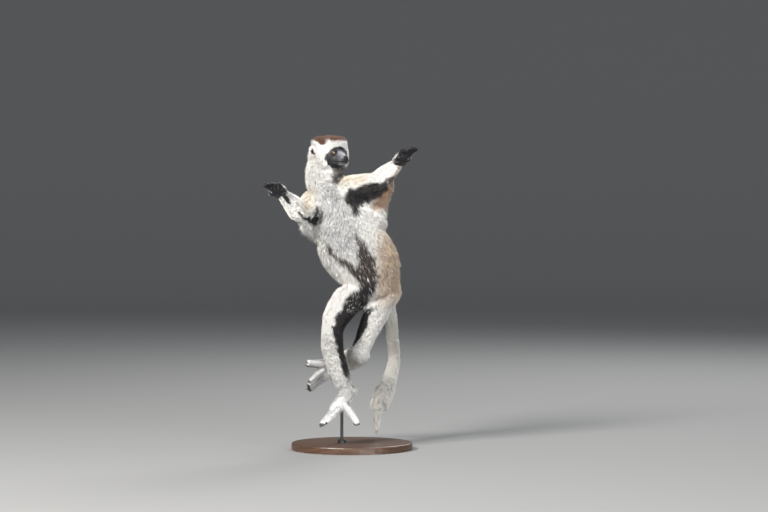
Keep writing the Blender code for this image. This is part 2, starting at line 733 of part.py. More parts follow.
def main():
    for obj in list(bpy.data.objects):
        bpy.data.objects.remove(obj)
    coats = {
        "coat": finish("white_coat", (0.80, 0.78, 0.73), 0.9),
        "head": finish("head_coat", (0.78, 0.75, 0.70), 0.9),
        "hand": finish("black_skin", (0.03, 0.03, 0.03), 0.6),
    }
    iris = finish("amber_eye", (0.60, 0.30, 0.03), 0.1)
    wood = finish("stand_wood", (0.20, 0.11, 0.06), 0.5)
    steel = finish("stand_steel", (0.10, 0.10, 0.11), 0.4, 1.0)

    shells = bmesh.new()
    build_trunk(shells)
    build_head(shells)
    build_folds(shells)
    build_tail(shells)
    for side in ("left", "right"):
        build_arm(shells, side)
    build_leg(shells, "right", (0.041, 0.040, 0.034, 0.0265),
              swell=Vector((-0.010, 0.0, 0.006)), bulge=Vector((-0.009, 0.008, 0.0)))
    build_leg(shells, "left", (0.039, 0.0335, 0.0265, 0.0245),
              swell=Vector((-0.003, 0.0, -0.001)), bulge=Vector((-0.004, 0.0, -0.008)))
    build_foot(shells, "right", TO_FRONT)
    build_foot(shells, "left", TO_FRONT + UP * 0.4)
    body = fused(shells, FLESH_TRIANGLES)
    shells.free()

    to_model = head_matrix()
    eyes = {}
    for sign, side in ((1, "left"), (-1, "right")):
        eyes[side] = to_model @ Vector((EYE_PLACE.x, EYE_PLACE.y * sign, EYE_PLACE.z))
    tools = cutters()
    for side, place in eyes.items():
        socket = sphere_object(f"socket_{side}", place, EYE_RADIUS + FIT)
        socket.hide_render = True
        tools.append(socket)
    tools.append(as_cutter("rod_pocket", rod_solid(ROD_RADIUS + FIT, POCKET_FROM, ROD_TOP + FIT)))
    subtract(body, tools)
    part_the_body(body, coats)
    for side, place in eyes.items():
        eye = sphere_object(f"eye_{side}", place, EYE_RADIUS)
        eye.data.materials.append(iris)
    build_stand(wood, steel)


main()
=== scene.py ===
# %% [markdown]
# A life-size museum model of a Verreaux's sifaka, caught at the top of a leap and held up by a
# thin rod.  The frame is the measured solid model: it gives every outline out to the tips of the
# coat.  This lesson dresses that frame.  It makes one skin that lies under the coat, lays a coat
# of solid tufts on it, and adds the eyes, nails, whiskers, stand, light and camera.  Lengths are
# in metres.  A few small helpers come first, because nearly every step uses them.

# %% Tools and the frame
import math

import bmesh
import bpy
import numpy as np
from mathutils import Matrix, Vector
from mathutils.bvhtree import BVHTree
from mathutils.kdtree import KDTree


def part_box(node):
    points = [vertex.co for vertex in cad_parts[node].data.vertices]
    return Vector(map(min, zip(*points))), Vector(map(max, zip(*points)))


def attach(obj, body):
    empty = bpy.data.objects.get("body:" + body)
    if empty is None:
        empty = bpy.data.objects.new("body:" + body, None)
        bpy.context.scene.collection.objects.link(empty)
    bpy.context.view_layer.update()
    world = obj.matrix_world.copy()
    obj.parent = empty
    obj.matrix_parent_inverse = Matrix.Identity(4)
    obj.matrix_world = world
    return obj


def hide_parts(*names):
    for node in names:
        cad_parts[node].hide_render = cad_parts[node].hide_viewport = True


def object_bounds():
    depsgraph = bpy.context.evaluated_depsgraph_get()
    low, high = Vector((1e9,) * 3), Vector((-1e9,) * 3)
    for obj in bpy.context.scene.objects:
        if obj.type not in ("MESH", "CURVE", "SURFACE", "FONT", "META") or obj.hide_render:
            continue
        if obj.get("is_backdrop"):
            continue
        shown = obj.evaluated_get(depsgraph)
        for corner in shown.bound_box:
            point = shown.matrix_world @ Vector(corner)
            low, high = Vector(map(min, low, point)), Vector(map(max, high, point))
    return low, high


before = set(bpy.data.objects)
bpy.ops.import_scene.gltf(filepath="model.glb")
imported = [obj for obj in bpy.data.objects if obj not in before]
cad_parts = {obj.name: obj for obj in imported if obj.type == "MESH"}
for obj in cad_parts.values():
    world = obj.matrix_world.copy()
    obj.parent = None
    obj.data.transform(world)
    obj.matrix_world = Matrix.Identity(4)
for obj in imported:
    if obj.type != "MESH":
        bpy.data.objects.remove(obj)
cad_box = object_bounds()


def added(name, data):
    """A new object in the scene."""
    obj = bpy.data.objects.new(name, data)
    bpy.context.scene.collection.objects.link(obj)
    return obj


def mesh_from(bm, name):
    """A mesh with what a bmesh holds.  The bmesh is used up."""
    mesh = bpy.data.meshes.new(name)
    bm.to_mesh(mesh)
    bm.free()
    return mesh


def smooth(low, high, value):
    """0 below low, 1 above high, and a soft step between, for numbers or arrays."""
    t = np.clip((value - low) / (high - low), 0, 1)
    return t * t * (3 - 2 * t)


def gap_to(points, place):
    """How far each point is from one place."""
    return np.linalg.norm(points - np.array(place), axis=1)


print("frame nodes:", len(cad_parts), "box:", np.round(cad_box, 3).tolist())

# %% [markdown]
# The camera stands far off with a long lens, level with the animal's waist, so that near and far
# limbs keep their true sizes.  It is made first, because nothing else depends on it.

# %% Camera
camera = added("camera", bpy.data.cameras.new("camera"))
camera.data.lens = 146.5
camera.data.sensor_width = 36.0
camera.data.clip_end = 60.0
AIM = Vector((0.082, 0.0, 0.496))
RAISED = math.radians(2)
camera.location = AIM + Vector((0, -math.cos(RAISED), math.sin(RAISED))) * 8.0
camera.rotation_euler = (AIM - camera.location).to_track_quat("-Z", "Y").to_euler()
bpy.context.scene.camera = camera
print("camera stands", round((camera.location - AIM).length, 2), "m away")

# %% [markdown]
# A skeleton of joints gives the body its directions.  A hair grows away from the root of its own
# limb, a dark band runs along the inside of a bone, and a finger starts at a knuckle, so nearly
# every later step asks where the bones are.

# %% The skeleton
JOINT = {
    "shoulder_left": (-0.013, -0.022, 0.668), "shoulder_right": (-0.090, 0.026, 0.640),
    "elbow_left": (0.061, -0.080, 0.683), "elbow_right": (-0.128, -0.040, 0.608),
    "wrist_left": (0.113, -0.135, 0.729), "wrist_right": (-0.172, -0.105, 0.652),
    "fingers_left": (0.156, -0.182, 0.779), "fingers_right": (-0.210, -0.150, 0.689),
    "hip_left": (0.088, 0.004, 0.405), "hip_right": (0.023, 0.020, 0.412),
    "knee_left": (0.020, -0.005, 0.247), "knee_right": (-0.050, -0.090, 0.305),
    "ankle_left": (-0.030, 0.142, 0.216), "ankle_right": (-0.013, -0.050, 0.145),
    "heel_left": (-0.020, 0.155, 0.222), "heel_right": (-0.001, -0.040, 0.154),
    "toes_left": (-0.118, 0.088, 0.151), "toes_right": (-0.077, -0.100, 0.068),
    "hallux_left": (-0.118, 0.088, 0.215), "hallux_right": (0.015, -0.085, 0.073),
}
JOINT = {name: Vector(place) for name, place in JOINT.items()}
SIDES = ("left", "right")
UP = Vector((0, 0, 1))


def middle_of(node):
    """The middle of a frame node's box."""
    low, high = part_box(node)
    return (Vector(low) + Vector(high)) / 2


# The head's own directions come from its eyes: they lie level, and it looks square to their line.
EYES = {side: middle_of(f"eye_{side}") for side in SIDES}
EYE_RADIUS = 0.0085
LEFTWARD = (EYES["left"] - EYES["right"]).normalized()
LOOK_UP = math.radians(3)
level = LEFTWARD.cross(UP)
FORWARD = (level * math.cos(LOOK_UP) + UP * math.sin(LOOK_UP)).normalized()
CROWNWARD = FORWARD.cross(LEFTWARD)
HEAD = (EYES["left"] + EYES["right"]) / 2 - FORWARD * 0.0335 - CROWNWARD * 0.0010
HEAD_TURN = Matrix((FORWARD, LEFTWARD, CROWNWARD)).transposed()
HEAD_PLACE = Matrix.Translation(HEAD) @ HEAD_TURN.to_4x4()


def in_head(points):
    """Points in head measure: forward, to the animal's left, and up from the skull's middle."""
    return (points - np.array(HEAD)) @ np.array(HEAD_TURN)


print("head at", [round(v, 3) for v in HEAD], "looking along", [round(v, 2) for v in FORWARD])

# %% [markdown]
# The body is a set of tubes around bones.  Each line below is one tube: its path, and at each
# point of the path its radius out to the coat's tips, how deep the coat is, and how long its
# hairs are, in millimetres.  The trunk is broader than deep, so three tubes lie side by side in
# it.  Asking all tubes at once, and trusting the nearest ones most, gives every point of the skin
# a smooth direction, depth and length, with no steps where a limb leaves the trunk.

# %% Tubes around the bones
TRUNK_PATH = ((-0.070, 0.003, 0.725), (-0.067, 0.006, 0.685), (-0.049, 0.008, 0.662), (-0.026, 0.004, 0.636),
              (-0.008, 0.000, 0.602), (-0.004, 0.000, 0.562), (0.006, 0.003, 0.519), (0.037, 0.006, 0.473),
              (0.051, 0.010, 0.437), (0.059, 0.015, 0.401), (0.061, 0.015, 0.378))
TRUNK_RADII = (46, 48, 50, 56, 62, 66, 67, 65, 61, 54, 36)
TRUNK_DEPTH = (10, 10, 10, 10, 11, 12, 12, 11, 10, 9, 8)
TRUNK_HAIR = (20, 20, 21, 22, 24, 25, 25, 24, 22, 20, 16)
TRUNK_HALF = (1, 2, 8, 14, 18, 26, 32, 26, 16, 9, 0)
TRUNK_ACROSS = Vector((math.cos(math.radians(20)), -math.sin(math.radians(20)), 0))
TAIL_PATH = ((0.080, 0.045, 0.410), (0.090, 0.090, 0.385), (0.100, 0.135, 0.332), (0.105, 0.190, 0.268),
             (0.109, 0.214, 0.224), (0.101, 0.202, 0.178), (0.085, 0.163, 0.139), (0.072, 0.128, 0.112),
             (0.066, 0.096, 0.080), (0.063, 0.060, 0.044))
THIGH = {"left": 36, "right": 40}


def along(side, *names):
    """One side's joints of those names, as a path."""
    return [JOINT[f"{name}_{side}"] for name in names]


TUBES = []      # part, path, radii, coat depth, hair length
for shift in (-1, 0, 1):
    path = [Vector(p) + TRUNK_ACROSS * half / 1000 * shift for p, half in zip(TRUNK_PATH, TRUNK_HALF)]
    TUBES.append(("trunk", path, TRUNK_RADII, TRUNK_DEPTH, TRUNK_HAIR))
crown, nape = (HEAD_PLACE @ Vector(place) for place in ((-0.004, 0, 0.012), (-0.012, 0, -0.030)))
TUBES.append(("head", [crown, nape], (44, 42), (8, 9), (11, 16)))
TUBES.append(("tail", TAIL_PATH, (22, 18, 17, 17, 17.5, 19, 21.5, 20, 10, 8),
              (7, 7, 7, 7, 7, 7.5, 8, 7, 4, 3), (16, 16, 16, 16, 16, 17, 18, 18, 12, 9)))
for side in SIDES:
    s, e, w, f = along(side, "shoulder", "elbow", "wrist", "fingers")
    TUBES.append((f"arm_{side}", [s, s.lerp(e, 0.5), e, e.lerp(w, 0.5), w, w.lerp(f, 0.45), f],
                  (35, 31, 28, 24, 16, 12, 8), (9, 8, 7, 6, 5.5, 1.0, 0.3), (19, 17, 16, 14, 11, 6, 3)))
    h, k, a, c, t, x = along(side, "hip", "knee", "ankle", "heel", "toes", "hallux")
    TUBES.append((f"leg_{side}", [h, h.lerp(k, 0.4), h.lerp(k, 0.75), k, k.lerp(a, 0.5), a],
                  (THIGH[side], THIGH[side] - 1, 31, 27, 28, 19), (9, 8, 7, 7, 7, 6),
                  (18, 17, 16, 16, 15, 11)))
    TUBES.append((f"leg_{side}", [c, c.lerp(t, 0.30), c.lerp(t, 0.58), t],
                  (13, 17, 14, 9), (4, 3, 1.6, 0.3), (9, 8, 6, 4)))
    TUBES.append((f"leg_{side}", [c.lerp(t, 0.36), x], (12, 9), (2, 0.3), (7, 3)))

# One row of BONES is one straight length of a tube.  After its part, its tube and its two ends
# come pairs of values, each at the start and at the end of the bone.
PARTS = ["trunk", "head", "tail", "arm_left", "arm_right", "leg_left", "leg_right"]
PART, TUBE, START, END = 0, 1, slice(2, 5), slice(5, 8)
RADIUS, DEPTH, HAIR, PLACE = 8, 10, 12, 14
rows = []
for tube, (part, path, *values) in enumerate(TUBES):
    values.append([k / (len(path) - 1) for k in range(len(path))])
    for k in range(len(path) - 1):
        pairs = [v for column in values for v in column[k:k + 2]]
        rows.append((PARTS.index(part), tube, *path[k], *path[k + 1], *pairs))
BONES = np.array(rows)
print(len(TUBES), "tubes in", len(BONES), "lengths")


def between(row, column, t):
    """A bone's value at the share t of its length."""
    return row[column] + (row[column + 1] - row[column]) * t


def body_field(points):
    """What the bones say at each point: the way the hair grows, the coat's depth, the hair's
    length, the gap to the nearest tube, that tube's bone, and how far along its tube it is."""
    count = len(points)
    best, bone, place = np.full(count, 1e9), np.zeros(count, int), np.zeros(count)
    gaps, shares = [], []
    for index, row in enumerate(BONES):
        a, run = row[START], row[END] - row[START]
        t = np.clip((points - a) @ run / (run @ run), 0, 1)
        gap = np.linalg.norm(points - a - t[:, None] * run, axis=1) - between(row, RADIUS, t) / 1000
        gaps.append(gap)
        shares.append(t)
        closer = gap < best
        best, bone = np.where(closer, gap, best), np.where(closer, index, bone)
        place = np.where(closer, between(row, PLACE, t), place)
    total, way, depth, hair = np.zeros(count), np.zeros((count, 3)), np.zeros(count), np.zeros(count)
    for row, gap, t in zip(BONES, gaps, shares):
        weight = np.exp(-(gap - best) / 0.006)
        run = row[END] - row[START]
        total += weight
        way += weight[:, None] * run / np.linalg.norm(run)
        depth += weight * between(row, DEPTH, t)
        hair += weight * between(row, HAIR, t)
    return {"way": way / total[:, None], "depth": depth / total / 1000, "hair": hair / total / 1000,
            "gap": best, "bone": bone, "place": place}


# %% [markdown]
# The face is bare and black, and the coat around it is short, so the head sets its own depth: none
# on the muzzle and around the eyes, then quickly deeper over the brow, the cheeks and the crown.

# %% Coat depth on the head
def bare_face(points):
    """1 on the bare face, 0 where fur grows."""
    f, l, u = in_head(points).T
    ring = np.sqrt((l / 0.0342) ** 2 + ((u + 0.0105) / 0.0265) ** 2)
    muzzle = smooth(0.034, 0.038, f) * smooth(0.016, 0.010, u) * smooth(-0.044, -0.040, u)
    muzzle *= smooth(0.078, 0.072, np.sqrt(f ** 2 + l ** 2 + u ** 2))
    return np.maximum((1 - smooth(0.90, 1.08, ring)) * smooth(0.002, 0.009, f), muzzle)


def brow_corner(f, l, u):
    """1 at the two upper corners of the forehead, where the coat is short and rounded."""
    return smooth(0.020, 0.034, np.abs(l)) * smooth(0.006, 0.018, f) * smooth(0.014, 0.026, u)


def coat_depth(points):
    """How far the skin lies under the coat's tips."""
    depth = body_field(points)["depth"]
    f, l, u = in_head(points).T
    head = 1 - smooth(0.050, 0.066, np.sqrt(f ** 2 + l ** 2 + u ** 2))
    muzzle = smooth(0.028, 0.036, f) * smooth(-0.056, -0.046, u) * (f < 0.08) * (np.abs(l) < 0.04)
    head = np.maximum(head, muzzle)
    furred = 1 - bare_face(points)
    brow = smooth(0.010, 0.020, u) * smooth(0.005, 0.020, f)
    on_head = 0.0004 + furred * (0.0065 + 0.0025 * smooth(0.03, -0.02, f) + 0.0030 * brow)
    on_head += 0.0080 * furred * brow_corner(f, l, u)
    return depth * (1 - head) + on_head * head


BREAST = np.array([[-0.008, -0.062, 0.602]])
print("coat depth on the chest: %.1f mm" % (coat_depth(BREAST)[0] * 1000))

# %% [markdown]
# The skin starts as the frame's own flesh.  Each piece of the frame is swollen by less than a
# millimetre, so that the thin cuts between pieces close, and a voxel remesh fuses them into one
# closed surface.  Every point is then moved inwards by the depth of the coat at that place, but
# by less where the flesh is thin, as in the folds of skin between arm and flank.  Hands, feet and
# ears are left out here, because they are made finer below.

# %% The fused flesh
FLESH = [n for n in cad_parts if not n.startswith(("stand_", "eye_"))]
SWELL = 0.0008
FLESH_VOXEL = 0.0025
THIN_SHARE = 0.26       # the coat on each side takes no more of the flesh's thickness than this


def settled(mesh, voxel, steps):
    """A mesh remeshed to one closed surface of that voxel size, and smoothed."""
    obj = added("working", mesh)
    fuse = obj.modifiers.new("fuse", "REMESH")
    fuse.mode = "VOXEL"
    fuse.voxel_size = voxel
    calm = obj.modifiers.new("calm", "SMOOTH")
    calm.iterations = steps
    result = bpy.data.meshes.new_from_object(obj.evaluated_get(bpy.context.evaluated_depsgraph_get()))
    bpy.data.objects.remove(obj)
    return result


def points_of(mesh):
    """The places and normals of a mesh's corners, as two arrays."""
    places, normals = (np.empty(len(mesh.vertices) * 3) for _ in range(2))
    mesh.vertices.foreach_get("co", places)
    mesh.vertex_normals.foreach_get("vector", normals)
    return places.reshape(-1, 3), normals.reshape(-1, 3)


def ends_of(mesh):
    """The two corners of each edge, as two arrays."""
    ends = np.empty(len(mesh.edges) * 2, int)
    mesh.edges.foreach_get("vertices", ends)
    return ends.reshape(-1, 2).T


def calmed(mesh, values, steps):
    """Values on a mesh's corners, each averaged with its neighbours that many times."""
    a, b = ends_of(mesh)
    count = len(mesh.vertices)
    shares = np.maximum(np.bincount(a, minlength=count) + np.bincount(b, minlength=count), 1)
    columns = values.reshape(count, -1)
    for _ in range(steps):
        means = [(np.bincount(a, c[b], count) + np.bincount(b, c[a], count)) / shares for c in columns.T]
        columns = (columns + np.stack(means, axis=1)) / 2
    return columns.reshape(values.shape)


gathered = bmesh.new()
for name in FLESH:
    if name.startswith(("hand_", "foot_", "ear_")):
        continue
    piece = bmesh.new()
    piece.from_mesh(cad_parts[name].data)
    bmesh.ops.remove_doubles(piece, verts=piece.verts, dist=1e-6)
    piece.normal_update()
    for vert in piece.verts:
        vert.co += vert.normal * SWELL
    gathered.from_mesh(mesh_from(piece, "passing"))
outer = settled(mesh_from(gathered, "rough"), FLESH_VOXEL, 12)
places, normals = points_of(outer)
tree = BVHTree.FromPolygons(places.tolist(), [tuple(face.vertices) for face in outer.polygons])
through = (tree.ray_cast(Vector(p - n * 1e-4), Vector(-n))[3] for p, n in zip(places, normals))
thickness = np.minimum([distance or 1.0 for distance in through], 0.2)
a, b = ends_of(outer)
for _ in range(5):
    for near, far in ((a, b), (b, a)):
        np.minimum.at(thickness, near, thickness[far])
depths = calmed(outer, np.minimum(coat_depth(places), thickness * THIN_SHARE), 4)
inner_places = places - normals * (depths + SWELL * 0.5)[:, None]
f, l, u = in_head(places).T
shelf = (smooth(-0.012, 0.004, f) * smooth(0.004, 0.012, u) * smooth(0.060, 0.050, np.abs(l)))[:, None]
inner_places = inner_places * (1 - shelf) + calmed(outer, inner_places, 40) * shelf
outer.vertices.foreach_set("co", inner_places.ravel())
print("fused flesh:", len(outer.vertices), "points, coat up to %.1f mm" % (depths.max() * 1000))

# %% [markdown]
# Hands, feet, muzzle and ears are too fine for that coarse step.  They are lofts: rings of points
# along a path, closed with a dome at each end.  A finger is a loft that narrows between its
# knuckles and swells again at its pad.

# %% Lofts
def across(direction, reference):
    """The unit vector nearest to reference that is square to direction."""
    axis = direction.normalized()
    return (reference - axis * reference.dot(axis)).normalized()


def curve_at(values, t):
    """A smooth curve through a list of numbers or vectors, at t from 0 to the last index."""
    last = len(values) - 1
    i = min(int(t), last - 1)
    f = t - i
    p0, p1, p2, p3 = (values[min(max(i + k, 0), last)] for k in (-1, 0, 1, 2))
    return (p1 + (p2 - p0) * (f / 2) + (p0 * 2 - p1 * 5 + p2 * 4 - p3) * (f * f / 2)
            + (p1 * 3 - p0 - p2 * 3 + p3) * (f * f * f / 2))


def loft(bm, path, widths, heights, side, sides=16, steps=4):
    """A closed tube along a path, with half widths towards side and half heights square to it."""
    path = [Vector(p) for p in path]
    count = (len(path) - 1) * steps
    spots = [curve_at(path, k / steps) for k in range(count + 1)]
    rings = []

    def ring(k, shift, scale):
        run = (spots[min(k + 1, count)] - spots[max(k - 1, 0)]).normalized()
        out = across(run, side)
        top = run.cross(out)
        wide, high = curve_at(widths, k / steps) * scale, curve_at(heights, k / steps) * scale
        centre = spots[k] + run * shift * min(wide, high) / max(scale, 0.1)
        turns = (2 * math.pi * j / sides for j in range(sides))
        return [bm.verts.new(centre + out * wide * math.cos(a) + top * high * math.sin(a)) for a in turns]

    for angle in (75, 50, 25):
        rings.append(ring(0, -math.sin(math.radians(angle)), math.cos(math.radians(angle))))
    rings += [ring(k, 0, 1) for k in range(count + 1)]
    for angle in (25, 50, 75):
        rings.append(ring(count, math.sin(math.radians(angle)), math.cos(math.radians(angle))))
    for a, b in zip(rings, rings[1:]):
        for j in range(sides):
            bm.faces.new((a[j], a[(j + 1) % sides], b[(j + 1) % sides], b[j]))
    bm.faces.new(rings[0][::-1])
    bm.faces.new(rings[-1])


def ball(bm, place, size, turn=None, segments=24):
    """An ellipsoid with half axes size, turned by a 3 x 3 matrix."""
    matrix = Matrix.Translation(place) @ (turn.to_4x4() if turn else Matrix()) @ Matrix.Diagonal((*size, 1))
    bmesh.ops.create_uvsphere(bm, u_segments=segments, v_segments=segments // 2, radius=1, matrix=matrix)


fine = bmesh.new()
tail_core = [r / 1000 for r in (12, 10, 9, 9, 8.5, 8.5, 8, 7, 6, 5)]
loft(fine, TAIL_PATH, tail_core, tail_core, Vector((1, 0, 0)))
print("lofts ready, with a core for the tail")

# %% [markdown]
# A sifaka's hand is long and narrow, made to hook over a trunk: four long fingers, and a short
# thumb low on the palm.  Each finger is a path with a slight curl, and the pads of the palm are
# flattened balls sunk in it.

# %% Hands
PALM_TOWARDS = {"left": Vector((0.267, -0.491, -0.830)), "right": Vector((-0.1, -0.55, -0.80))}
FINGER_SPREAD = {"left": 0.02, "right": 0.10}
THUMB_SPREAD = {"left": 0.15, "right": 0.45}
FINGER = (0.0053, 0.0046, 0.0048, 0.0042, 0.0040)
DIGITS = []     # tip, way, back of the digit, width: where the nails go


def finger(root, middle, tip, side, back, scale=1.0):
    """One digit with two knuckles and a pad, and the place of its nail."""
    path = [root, root.lerp(middle, 0.55), middle, middle.lerp(tip, 0.55), tip]
    radii = [r * scale for r in FINGER]
    loft(fine, path, radii, radii, side, sides=12, steps=3)
    way = (tip - middle).normalized()
    DIGITS.append((tip, way, across(way, back), radii[-1]))


def make_hand(side):
    """The palm with its pads, four fingers and a thumb.  It gives the way that the palm faces."""
    wrist, fingers, elbow = along(side, "wrist", "fingers", "elbow")
    reach = fingers - wrist
    way = reach.normalized()
    palm = across(way, PALM_TOWARDS[side])
    inner = across(way, palm.cross(way)) * (1 if side == "right" else -1)
    knuckles = wrist + reach * 0.45
    back = wrist.lerp(elbow, 0.22)
    loft(fine, [back, wrist, wrist + reach * 0.16, wrist + reach * 0.32, knuckles],
         (0.0095, 0.0102, 0.0155, 0.0190, 0.0180), (0.0095, 0.0092, 0.0090, 0.0080, 0.0064), inner)
    for k, length in enumerate((0.86, 1.0, 1.02, 0.88)):
        offset = (1.5 - k) * 0.0105
        spread = inner * offset * FINGER_SPREAD[side]
        root = knuckles + inner * offset - way * 0.006
        middle = root + (reach * 0.31 + spread * 0.5) * length - palm * 0.003
        tip = root + (reach * 0.57 + spread) * length + palm * (0.003 + 0.002 * k)
        finger(root, middle, tip, inner, -palm, 0.92)
        ball(fine, knuckles + inner * offset * 0.95 - way * 0.004 + palm * 0.0036, (0.0050, 0.0050, 0.0036))
    root = wrist + reach * 0.12 + inner * 0.010
    apart = inner * THUMB_SPREAD[side]
    finger(root, root + reach * 0.17 + apart * 0.010 + palm * 0.004,
           root + reach * 0.33 + apart * 0.015 + palm * 0.009, inner, -palm, 1.15)
    ball(fine, wrist + reach * 0.16 + inner * 0.008 + palm * 0.0045, (0.009, 0.009, 0.006))
    ball(fine, wrist + reach * 0.18 - inner * 0.009 + palm * 0.0035, (0.0080, 0.0080, 0.005))
    return palm


PALMS = {side: make_hand(side) for side in SIDES}
print("hands with", len(DIGITS), "digits")

# %% [markdown]
# The foot is a clamp: a long heel, four toes that work as one, and a great toe that stands well
# away from them.

# %% Feet
TOE_ROW = {"right": math.radians(68), "left": math.radians(40)}
DORSUM = {"right": Vector((0, -1, 0)), "left": Vector((0, -1, 0.4))}
WEB = (0.019, 0.021, 0.0075)


def make_foot(side):
    """Heel, instep, four toes and the great toe.  It gives the way that the sole faces."""
    ankle, heel, toes, hallux, knee = along(side, "ankle", "heel", "toes", "hallux", "knee")
    reach = toes - heel
    way = reach.normalized()
    dorsum = across(way, DORSUM[side])
    inner = across(way, hallux - toes)
    step = heel + reach * 0.58
    loft(fine, [heel, heel + reach * 0.15, heel + reach * 0.30, heel + reach * 0.45, step],
         (0.0100, 0.0125, 0.0150, 0.0160, 0.0145), (0.0095, 0.0120, 0.0125, 0.0100, 0.0080), inner)
    loft(fine, [ankle.lerp(knee, 0.16), ankle, heel + reach * 0.25], (0.0130, 0.0140, 0.0135),
         (0.0130, 0.0140, 0.0125), inner)
    row = inner * math.cos(TOE_ROW[side]) + dorsum * math.sin(TOE_ROW[side])
    for k, length in enumerate((0.84, 0.95, 1.0, 0.90)):
        offset = (1.5 - k) * 0.0092
        root = step + row * offset * 0.9 - way * 0.006
        tip = root + (toes - step) * length - row * offset * 0.08 - dorsum * 0.003
        finger(root, root.lerp(tip, 0.5) + dorsum * 0.0055, tip, inner, dorsum, 1.12)
        ball(fine, step + row * offset * 0.9 - dorsum * 0.0045, (0.0048, 0.0048, 0.0042))
    if side == "left":
        web = heel.lerp(toes.lerp(hallux, 0.5), 0.56)
        ball(fine, web, WEB, Matrix((way, inner, dorsum)).transposed())
    root = heel + reach * 0.34 + inner * 0.006
    middle = root.lerp(hallux, 0.5) + dorsum * 0.004
    tip = root.lerp(hallux, 0.93)
    loft(fine, [root, root.lerp(middle, 0.5), middle, middle.lerp(tip, 0.5), tip],
         (0.0108, 0.0104, 0.0102, 0.0098, 0.0100), (0.0104, 0.0096, 0.0092, 0.0084, 0.0082), row)
    far = (tip - middle).normalized()
    DIGITS.append((tip, far, across(far, dorsum), 0.0062))
    return -dorsum


SOLES = {side: make_foot(side) for side in SIDES}
print("feet done,", len(DIGITS), "digits in all")

# %% [markdown]
# The fine parts of the head are a nose pad, full lips, a mound of lids over each eye, and cupped
# ears set in the fur.

# %% Nose, lids and ears
SIGNS = {"left": 1, "right": -1}
EAR = {side: Vector((-0.011, 0.0455 * sign, 0.008)) for side, sign in SIGNS.items()}
EAR_TURN, GAZE = {}, {}
LOOK_OUT = math.radians(18)
for side, sign in SIGNS.items():
    ball(fine, EYES[side], (0.0099, 0.0099, 0.0099), segments=32)
    ball(fine, HEAD_PLACE @ Vector((0.0200, 0.0160 * sign, 0.0005)), (0.0185, 0.0170, 0.0150), HEAD_TURN)
    GAZE[side] = (FORWARD * math.cos(LOOK_OUT) + LEFTWARD * sign * math.sin(LOOK_OUT)).normalized()
    lean = Matrix.Rotation(math.radians(-16 * sign), 3, "X")
    EAR_TURN[side] = HEAD_TURN @ (lean @ Matrix.Rotation(math.radians(28 * sign), 3, "Z"))
    ball(fine, HEAD_PLACE @ EAR[side], (0.0112, 0.0078, 0.0122), EAR_TURN[side])
ball(fine, HEAD_PLACE @ Vector((0.0622, 0, -0.0122)), (0.0050, 0.0076, 0.0056), HEAD_TURN)
print("face and ears placed", [np.round(HEAD_PLACE @ EAR[side], 4).tolist() for side in SIDES])

# %% [markdown]
# Flesh and fine parts are fused by one remesh, fine enough for a fingertip.  That is far more than
# the trunk needs under its coat, so the mesh is then thinned, with a weight that spares the face,
# the hands and the feet.  The result is the one skin of the model, with no seams.

# %% One skin
SKIN_VOXEL = 0.0014
SKIN_TRIANGLES = 130000
fine.normal_update()
bmesh.ops.recalc_face_normals(fine, faces=fine.faces)
fine.from_mesh(outer)
whole = settled(mesh_from(fine, "together"), SKIN_VOXEL, 2)
places, normals = points_of(whole)
tips = [JOINT[f"{n}_{s}"] for n in ("fingers", "toes", "hallux") for s in SIDES]
tips += [JOINT[f"wrist_{s}"].lerp(JOINT[f"fingers_{s}"], 0.4) for s in SIDES]
tips += [JOINT[f"heel_{s}"].lerp(JOINT[f"toes_{s}"], 0.6) for s in SIDES]
near_tip = np.min([gap_to(places, tip) for tip in tips], axis=0)
spared = np.maximum(1 - smooth(0.030, 0.045, near_tip), bare_face(places)) > 0.5
skin = added("skin", whole)
plain = skin.vertex_groups.new(name="plain")
plain.add(np.nonzero(spared)[0].tolist(), 0.70, "REPLACE")
plain.add(np.nonzero(~spared)[0].tolist(), 1.0, "REPLACE")
thin = skin.modifiers.new("thin", "DECIMATE")
thin.ratio = SKIN_TRIANGLES / (2 * len(whole.polygons))
thin.use_collapse_triangulate = True
thin.vertex_group = "plain"


def applied(obj):
    """Bake an object's modifiers into its mesh."""
    mesh = bpy.data.meshes.new_from_object(obj.evaluated_get(bpy.context.evaluated_depsgraph_get()))
    obj.modifiers.clear()
    obj.data = mesh


applied(skin)
skin.vertex_groups.clear()
print("skin:", len(whole.polygons), "quads thinned to", len(skin.data.polygons), "triangles")

# %% [markdown]
# The face needs the sharpest detail of all.  Its triangles are split once more, and then its
# openings are cut with hidden tools: round sockets that the eyes sit in, almond openings between
# the lids, the cups of the ears and two nostrils.  The line of the mouth is too shallow to cut, so
# it is pressed in by moving the points along it.

# %% Openings and mouth
def split_face(mesh, chosen):
    """Cut each edge between chosen points in two, and part all faces into triangles."""
    bm = bmesh.new()
    bm.from_mesh(mesh)
    bm.verts.ensure_lookup_table()
    edges = [e for e in bm.edges if chosen[e.verts[0].index] and chosen[e.verts[1].index]]
    if edges:
        bmesh.ops.subdivide_edges(bm, edges=edges, cuts=1)
    bmesh.ops.triangulate(bm, faces=bm.faces)
    bm.to_mesh(mesh)
    bm.free()


def tool_from(bm):
    """A hidden cutter."""
    bmesh.ops.recalc_face_normals(bm, faces=bm.faces)
    return added("cutter", mesh_from(bm, "cutter"))


LID_POINTS = 24


